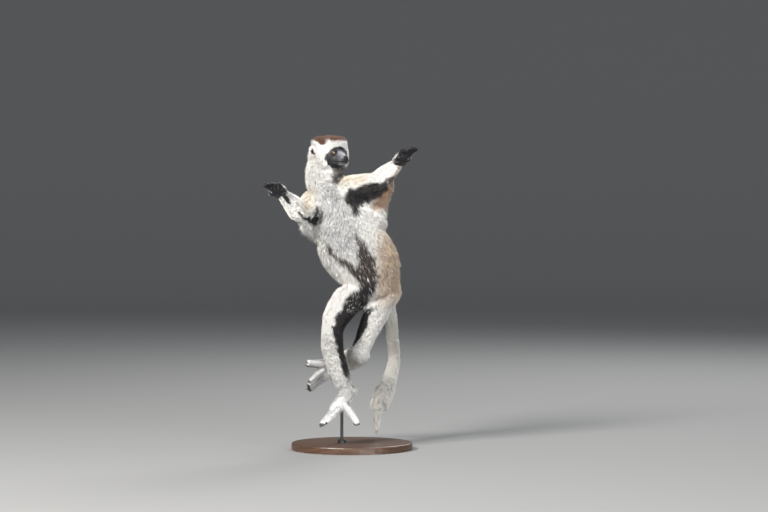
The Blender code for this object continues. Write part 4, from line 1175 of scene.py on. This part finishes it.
class Bench:
    """A new material and its node tree."""

    def __init__(self, name, **constants):
        self.material = bpy.data.materials.new(name)
        self.material.use_nodes = True
        self.tree = self.material.node_tree
        self.shader = self.tree.nodes["Principled BSDF"]
        for socket, value in constants.items():
            self.shader.inputs[socket.replace("_", " ")].default_value = value

    def node(self, kind, settings=None, sockets=None):
        node = self.tree.nodes.new(kind)
        for name, value in (settings or {}).items():
            setattr(node, name, value)
        for name, value in (sockets or {}).items():
            if isinstance(value, Wire):
                self.tree.links.new(value.socket, node.inputs[name])
            else:
                node.inputs[name].default_value = value
        return Made(self, node)

    def place(self):
        """The point on the object, in metres."""
        return self.node("ShaderNodeTexCoord").wire("Object")

    def noise(self, scale, detail=3.0, rough=0.5, at=None):
        """Noise from 0 to 1, with lumps of about 1 / scale metres."""
        sockets = {"Vector": at or self.place(), "Scale": scale, "Detail": detail, "Roughness": rough}
        return self.node("ShaderNodeTexNoise", None, sockets).wire("Fac")

    def soft(self, value, low, high):
        """A soft step from 0 at low to 1 at high."""
        sockets = {"Value": value, "From Min": low, "From Max": high}
        return self.node("ShaderNodeMapRange", {"interpolation_type": "SMOOTHSTEP"}, sockets).wire("Result")

    def blend(self, first, second, share, mode="MIX"):
        """One colour over another."""
        pair = {6: (*first, 1) if isinstance(first, tuple) else first,
                7: (*second, 1) if isinstance(second, tuple) else second, 0: share}
        return self.node("ShaderNodeMix", {"data_type": "RGBA", "blend_type": mode}, pair).wire(2)

    def bump(self, height, distance, strength=1.0):
        """Small relief from a height."""
        sockets = {"Height": height, "Distance": distance, "Strength": strength}
        self.set(Normal=self.node("ShaderNodeBump", None, sockets).wire("Normal"))

    def set(self, **wires):
        """Link wires to the shader's own sockets."""
        for socket, wire in wires.items():
            self.tree.links.new(wire.socket, self.shader.inputs[socket.replace("_", " ")])


print("materials can be written as sums")

# %% [markdown]
# Hair and skin share one recipe of colours, each laid over the last by its marking.  A hair is
# darker at its root, where less light reaches, and no two tufts have quite the same tone.

# %% Coat and skin finishes
WHITE, CREAM, GREY = (0.900, 0.885, 0.850), (0.760, 0.640, 0.450), (0.400, 0.410, 0.440)
CHESTNUT, BROWN, BLACK = (0.105, 0.038, 0.019), (0.062, 0.044, 0.034), (0.010, 0.009, 0.010)
# The warm colour is that of painted shade on the left fold and the right flank.
WARM_SHADE = (0.480, 0.290, 0.165)


def parted(bench, attribute):
    """The three channels of a stored colour, as wires."""
    channels = bench.node("ShaderNodeSeparateColor", None, {"Color": attribute.wire("Color")})
    return [channels.wire(k) for k in range(3)]


def marked_colour(bench, grey, dark):
    """The animal's colours at a point, from its stored markings."""
    marks = bench.node("ShaderNodeAttribute", {"attribute_name": "marks"})
    strand = bench.node("ShaderNodeAttribute", {"attribute_name": "strand"})
    black, brown, chestnut = parted(bench, marks)
    along_hair, tone, cream = parted(bench, strand)
    mottle = bench.noise(38.0, 2.0)
    # Cream is partly the coat's own tint and partly painted shade on the right flank.
    colour = bench.blend(WHITE, CREAM, cream * (0.55 + mottle * 0.7))
    # Painted shade: warm colour laid over the left fold and the right flank.
    colour = bench.blend(colour, WARM_SHADE, strand.wire("Alpha") * (0.65 + mottle * 0.5))
    colour = bench.blend(colour, grey, marks.wire("Alpha"))
    ragged = tone * 0.5 + mottle * 0.5 - 0.5
    colour = bench.blend(colour, CHESTNUT, bench.soft(chestnut + ragged * 0.5, 0.30, 0.62))
    colour = bench.blend(colour, BROWN, bench.soft(brown + ragged * 0.5, 0.25, 0.70))
    colour = bench.blend(colour, dark, bench.soft(black + ragged * 0.5, 0.28, 0.66))
    # The last value is painted light on black skin: where the muzzle's painted highlight lies.
    return colour, along_hair, tone, black * strand.wire("Alpha")


hair = Bench("coat_hair", Roughness=0.72, Sheen_Weight=0.08, Sheen_Roughness=0.4)
colour, along_hair, tone, _ = marked_colour(hair, (0.640, 0.640, 0.635), (0.015, 0.013, 0.013))
shade = 0.83 + along_hair * 0.12 + tone * 0.10
colour = hair.blend(colour, (0.42, 0.36, 0.30), (1 - along_hair) * 0.14, "MULTIPLY")
hair.set(Base_Color=hair.node("ShaderNodeVectorMath", {"operation": "SCALE"},
                              {0: colour, "Scale": shade}).wire(0))

flesh = Bench("skin", Specular_IOR_Level=0.30)
colour, _, _, pale = marked_colour(flesh, GREY, BLACK)
# Painted highlight: pale bluish grey on the top of the muzzle and the lower lip.
colour = flesh.blend(colour, (0.300, 0.310, 0.350), pale * 0.85)
pores = flesh.noise(2600.0, 2.0)
creases = flesh.noise(420.0, 4.0, 0.6)
sheen = flesh.node("ShaderNodeMapRange", None, {"Value": creases, "To Min": 0.40, "To Max": 0.60})
flesh.set(Base_Color=flesh.blend(colour, (0.10, 0.105, 0.12), creases * 0.10), Roughness=sheen.wire("Result"))
flesh.bump(pores * 0.4 + creases, 0.0006, 0.6)
for piece in coats:
    piece.data.materials.append(hair.material)
    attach(piece, "root")
skin.data.materials.clear()
skin.data.materials.append(flesh.material)
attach(skin, "root")
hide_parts(*FLESH)
print("coat and skin finished")

# %% [markdown]
# A sifaka's eyes are amber, with a round pupil and a dark rim where the iris ends.  Each eye is a
# fine ball whose front swells into a cornea.  It stores how far every point is from the middle of
# the gaze, and the material turns that distance into pupil, iris, rim and white.

# %% Eyes
eye_finish = Bench("eye", Roughness=0.06, Coat_Weight=0.6, Coat_Roughness=0.03, IOR=1.38)
ring_out = eye_finish.node("ShaderNodeAttribute", {"attribute_name": "ring"}).wire("Fac")
spokes = eye_finish.noise(1900.0, 3.0)
iris = eye_finish.blend((0.120, 0.046, 0.009), (0.050, 0.018, 0.005), spokes)
iris = eye_finish.blend(iris, (0.190, 0.085, 0.016), (1 - eye_finish.soft(ring_out, 0.0032, 0.0048)) * 0.6)
dark_rim = eye_finish.soft(ring_out + spokes * 0.0004, 0.0054, 0.0060)
iris = eye_finish.blend(iris, (0.020, 0.012, 0.008), dark_rim)
iris = eye_finish.blend(iris, (0.004, 0.004, 0.004), 1 - eye_finish.soft(ring_out, 0.0029, 0.0032))
white = eye_finish.soft(ring_out, 0.0062, 0.0068)
eye_finish.set(Base_Color=eye_finish.blend(iris, (0.100, 0.060, 0.045), white))
for side in SIDES:
    gaze = GAZE[side]
    bm = bmesh.new()
    bmesh.ops.create_uvsphere(bm, u_segments=64, v_segments=48, radius=1)
    turn = gaze.to_track_quat("Z", "Y")
    rings = []
    for vert in bm.verts:
        off = math.hypot(vert.co.x, vert.co.y)
        bulge = 0.0009 * math.exp(-(off / 0.62) ** 4) if vert.co.z > 0 else 0.0
        rings.append((off if vert.co.z > 0 else 1.0) * EYE_RADIUS)
        vert.co = EYES[side] + turn @ (vert.co * (EYE_RADIUS + 0.0001 + bulge))
    mesh = mesh_from(bm, f"eyeball_{side}")
    mesh.attributes.new("ring", "FLOAT", "POINT").data.foreach_set("value", rings)
    mesh.materials.append(eye_finish.material)
    mesh.shade_smooth()
    eyeball = added(f"eyeball_{side}", mesh)
    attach(eyeball, "root")
    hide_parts(f"eye_{side}")
print("eyes", round(EYE_RADIUS * 2000, 1), "mm across")

# %% [markdown]
# Nails and whiskers repeat, so Geometry Nodes make them.  A row of points says where each one
# stands, which way it runs, which way its back faces and how big it is.  One tree turns a small
# shape along those two directions at every point, makes the copies real and gives them a finish.

# %% Things set on points
def set_on_points(name, rows, shape, material):
    """One mesh of a shape repeated at rows of (place, way, back, size).  shape(tree) makes one, with
    its length along X and its back along Z."""
    mesh = bpy.data.meshes.new(name)
    mesh.from_pydata([tuple(place) for place, _, _, _ in rows], [], [])
    for title, column in (("way", 1), ("back", 2)):
        layer = mesh.attributes.new(title, "FLOAT_VECTOR", "POINT")
        layer.data.foreach_set("vector", [v for row in rows for v in row[column]])
    mesh.attributes.new("size", "FLOAT", "POINT").data.foreach_set("value", [row[3] for row in rows])
    obj = added(name, mesh)
    tree = bpy.data.node_groups.new(name, "GeometryNodeTree")
    tree.interface.new_socket("Points", in_out="INPUT", socket_type="NodeSocketGeometry")
    scale = tree.interface.new_socket("Scale", in_out="INPUT", socket_type="NodeSocketFloat")
    tree.interface.new_socket("Made", in_out="OUTPUT", socket_type="NodeSocketGeometry")
    add, link = tree.nodes.new, tree.links.new
    inputs, outputs = add("NodeGroupInput"), add("NodeGroupOutput")
    copies, real = add("GeometryNodeInstanceOnPoints"), add("GeometryNodeRealizeInstances")
    finish, scaled = add("GeometryNodeSetMaterial"), add("ShaderNodeMath")
    finish.inputs["Material"].default_value = material
    scaled.operation = "MULTIPLY"
    reads = {}
    for title, kind in (("way", "FLOAT_VECTOR"), ("back", "FLOAT_VECTOR"), ("size", "FLOAT")):
        reads[title] = add("GeometryNodeInputNamedAttribute")
        reads[title].data_type = kind
        reads[title].inputs["Name"].default_value = title
    lengthwise, upright = (add("FunctionNodeAlignRotationToVector") for _ in range(2))
    lengthwise.axis, upright.axis, upright.pivot_axis = "X", "Z", "X"
    for source, output, target, entry in (
        (reads["way"], "Attribute", lengthwise, "Vector"),
        (reads["back"], "Attribute", upright, "Vector"),
        (lengthwise, "Rotation", upright, "Rotation"),
        (reads["size"], "Attribute", scaled, 0),
        (inputs, "Scale", scaled, 1),
        (inputs, "Points", copies, "Points"),
        (upright, "Rotation", copies, "Rotation"),
        (scaled, "Value", copies, "Scale"),
        (copies, "Instances", real, "Geometry"),
        (real, "Geometry", finish, "Geometry"),
        (finish, "Geometry", outputs, "Made"),
    ):
        link(source.outputs[output], target.inputs[entry])
    link(shape(tree), copies.inputs["Instance"])
    nodes = obj.modifiers.new("set on points", "NODES")
    nodes.node_group = tree
    nodes[scale.identifier] = 1.0
    applied(obj)
    obj.data.shade_smooth()
    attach(obj, "root")
    print(f"  {name}: {len(rows)} of them, {len(obj.data.polygons)} faces")
    return obj


def shaped(tree, kind, sizes, change, value):
    """A mesh node with those sizes, turned or scaled by a transform node."""
    made = tree.nodes.new(kind)
    for socket, size in sizes.items():
        made.inputs[socket].default_value = size
    placed = tree.nodes.new("GeometryNodeTransform")
    placed.inputs[change].default_value = value
    tree.links.new(made.outputs["Mesh"], placed.inputs["Geometry"])
    return placed.outputs["Geometry"]


def nail_shape(tree):
    """A flat oval plate, one unit from its middle to its side, arched over the finger's tip."""
    sizes = {"Segments": 16, "Rings": 10, "Radius": 1.0}
    return shaped(tree, "GeometryNodeMeshUVSphere", sizes, "Scale", (1.25, 0.78, 0.30))


def whisker_shape(tree):
    """A slender cone one unit long, standing along X."""
    sizes = {"Vertices": 5, "Radius Top": 0.0, "Radius Bottom": 0.011, "Depth": 1.0}
    return shaped(tree, "GeometryNodeMeshCone", sizes, "Rotation", (0.0, math.pi / 2, 0.0))


# %% Nails and whiskers
horn = Bench("nail", Specular_IOR_Level=0.5)
ridges = horn.noise(1400.0, 2.0)
keratin = horn.blend((0.020, 0.017, 0.016), (0.060, 0.048, 0.042), ridges)
horn.set(Base_Color=keratin, Roughness=0.28 + ridges * 0.2)
rows = []
for tip, way, back, width in DIGITS:
    over = (way + back * 0.10).normalized()
    rows.append((tip + back * width * 0.72 + way * width * 0.45, over, across(over, back), width * 0.95))
nails = set_on_points("nails", rows, nail_shape, horn.material)
bristle = Bench("whisker", Roughness=0.45)
bristle.set(Base_Color=bristle.blend((0.012, 0.011, 0.011), (0.060, 0.052, 0.046), bristle.noise(300.0)))
skin_tree = BVHTree.FromPolygons(places.tolist(), triangles.tolist())
dice = np.random.default_rng(41)
rows = []
for sign in SIGNS.values():
    for row, high in enumerate((-0.017, -0.021, -0.030)):
        for k in range(5):
            ahead = 0.050 - 0.006 * k + dice.normal(0, 0.0006)
            out = Vector((ahead, 0.05 * sign, high + dice.normal(0, 0.0007)))
            spot = skin_tree.ray_cast(HEAD_PLACE @ out, (HEAD_TURN @ Vector((0, -sign, 0))).normalized())[0]
            if spot is None:
                continue
            droop = -0.25 - 0.15 * row + dice.normal(0, 0.08)
            way = HEAD_TURN @ Vector((0.35 - 0.10 * k, sign, droop)).normalized()
            long = 0.011 + 0.0015 * k + dice.uniform(0, 0.003)
            rows.append((spot - way * 0.0008, way, across(way, CROWNWARD), long))
whiskers = set_on_points("whiskers", rows, whisker_shape, bristle.material)

# %% [markdown]
# The stand is carried over from the frame.  Its round base is dark wood with a satin varnish, and
# its grain is a stack of slanted layers, bent by slow waves and drawn out along X.  The rod and its
# collar are steel under black satin paint, with a fine orange-peel surface.

# %% The stand
wood = Bench("stand_wood", Coat_Weight=0.12, Coat_Roughness=0.30)
stretch = {"Vector": wood.place(), "Scale": (1.0, 7.0, 7.0)}
drawn = wood.node("ShaderNodeMapping", None, stretch).wire("Vector")
waves = wood.noise(4.0, 2.0, 0.5, drawn)
cut = wood.node("ShaderNodeSeparateXYZ", None, {"Vector": wood.place()})
rings = cut.wire("Y") * 55.0 + cut.wire("Z") * 130.0 + waves * 6.0
grain = wood.node("ShaderNodeMath", {"operation": "PINGPONG"}, {0: rings, 1: 1.0}).wire(0)
streaks = wood.noise(90.0, 3.0, 0.6, drawn)
tone = wood.blend((0.095, 0.046, 0.023), (0.058, 0.028, 0.015), wood.soft(grain, 0.05, 0.95))
wood.set(Base_Color=wood.blend(tone, (0.030, 0.015, 0.009), streaks * 0.45), Roughness=0.36 + streaks * 0.16)
wood.bump(streaks, 0.0002, 0.4)
paint = Bench("stand_steel", Metallic=0.0, Specular_IOR_Level=0.5)
peel = paint.noise(900.0, 2.0)
black_paint = paint.blend((0.018, 0.018, 0.020), (0.030, 0.030, 0.032), peel)
paint.set(Base_Color=black_paint, Roughness=0.30 + peel * 0.14)
paint.bump(peel, 0.00015, 0.5)
for node, finish in (("stand_base", wood), ("stand_rod", paint), ("stand_collar", paint)):
    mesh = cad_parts[node].data
    mesh.materials.clear()
    mesh.materials.append(finish.material)
print("stand finished")

# %% [markdown]
# The floor runs up into a round wall, so there is a plain backdrop from every side.  It is a
# little darker than the coat, or the white animal would be lost on it.  A big soft light above the
# camera's left shoulder is the sun's stand-in, a weaker one fills from the right, and one behind
# draws a bright edge round the fur.

# %% Floor and light
stage = bmesh.new()
profile = [(0.0, 0.0), (7.0, 0.0)]
profile += [(7.0 + 4.0 * math.sin(a), 4.0 - 4.0 * math.cos(a)) for a in np.linspace(0.1, math.pi / 2, 16)]
profile.append((11.0, 12.0))
line = [stage.verts.new((r, 0.0, z)) for r, z in profile]
edges = [stage.edges.new(pair) for pair in zip(line, line[1:])]
bmesh.ops.spin(stage, geom=line + edges, cent=(0, 0, 0), axis=(0, 0, 1), angle=2 * math.pi, steps=96,
               use_merge=True)
bmesh.ops.remove_doubles(stage, verts=stage.verts, dist=1e-4)
bmesh.ops.recalc_face_normals(stage, faces=stage.faces)
mesh = mesh_from(stage, "floor")
mesh.shade_smooth()
paper = Bench("floor", Roughness=0.9)
radius = paper.node("ShaderNodeVectorMath", {"operation": "LENGTH"}, {0: paper.place()}).wire("Value")
paper.set(Base_Color=paper.blend((0.23, 0.23, 0.227), (0.155, 0.157, 0.159), paper.soft(radius, 0.5, 7.0)))
mesh.materials.append(paper.material)
floor = added("floor", mesh)
floor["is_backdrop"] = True


def soft_light(name, place, size, power, colour=(1.0, 1.0, 1.0)):
    """A square studio light that faces the animal's chest."""
    light = bpy.data.lights.new(name, "AREA")
    light.size, light.energy, light.color = size, power, colour
    obj = added(name, light)
    obj.location = place
    obj.rotation_euler = (Vector((0, 0, 0.5)) - Vector(place)).to_track_quat("-Z", "Y").to_euler()


soft_light("key", (-2.6, -3.4, 3.1), 1.5, 500.0, (1.0, 0.975, 0.94))
soft_light("fill", (2.4, -4.2, 0.9), 2.6, 270.0, (0.95, 0.97, 1.0))
soft_light("edge", (1.6, 3.2, 2.8), 1.6, 100.0)
world = bpy.data.worlds.new("studio")
world.use_nodes = True
world.node_tree.nodes["Background"].inputs["Color"].default_value = (0.90, 0.94, 1.0, 1.0)
world.node_tree.nodes["Background"].inputs["Strength"].default_value = 0.70
bpy.context.scene.world = world
bpy.context.scene.view_settings.view_transform = "Standard"
print("floor and three lights")

# %% [markdown]
# Last, the outside box of the dressed model is printed beside the frame's own box, to show that the
# looks have not changed the size.

# %% Size and finish
new_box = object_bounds()
for name, (low, high) in (("frame", cad_box), ("dressed", new_box)):
    print(f"  {name}:", " x ".join(f"{b - a:.3f}" for a, b in zip(low, high)), "m")
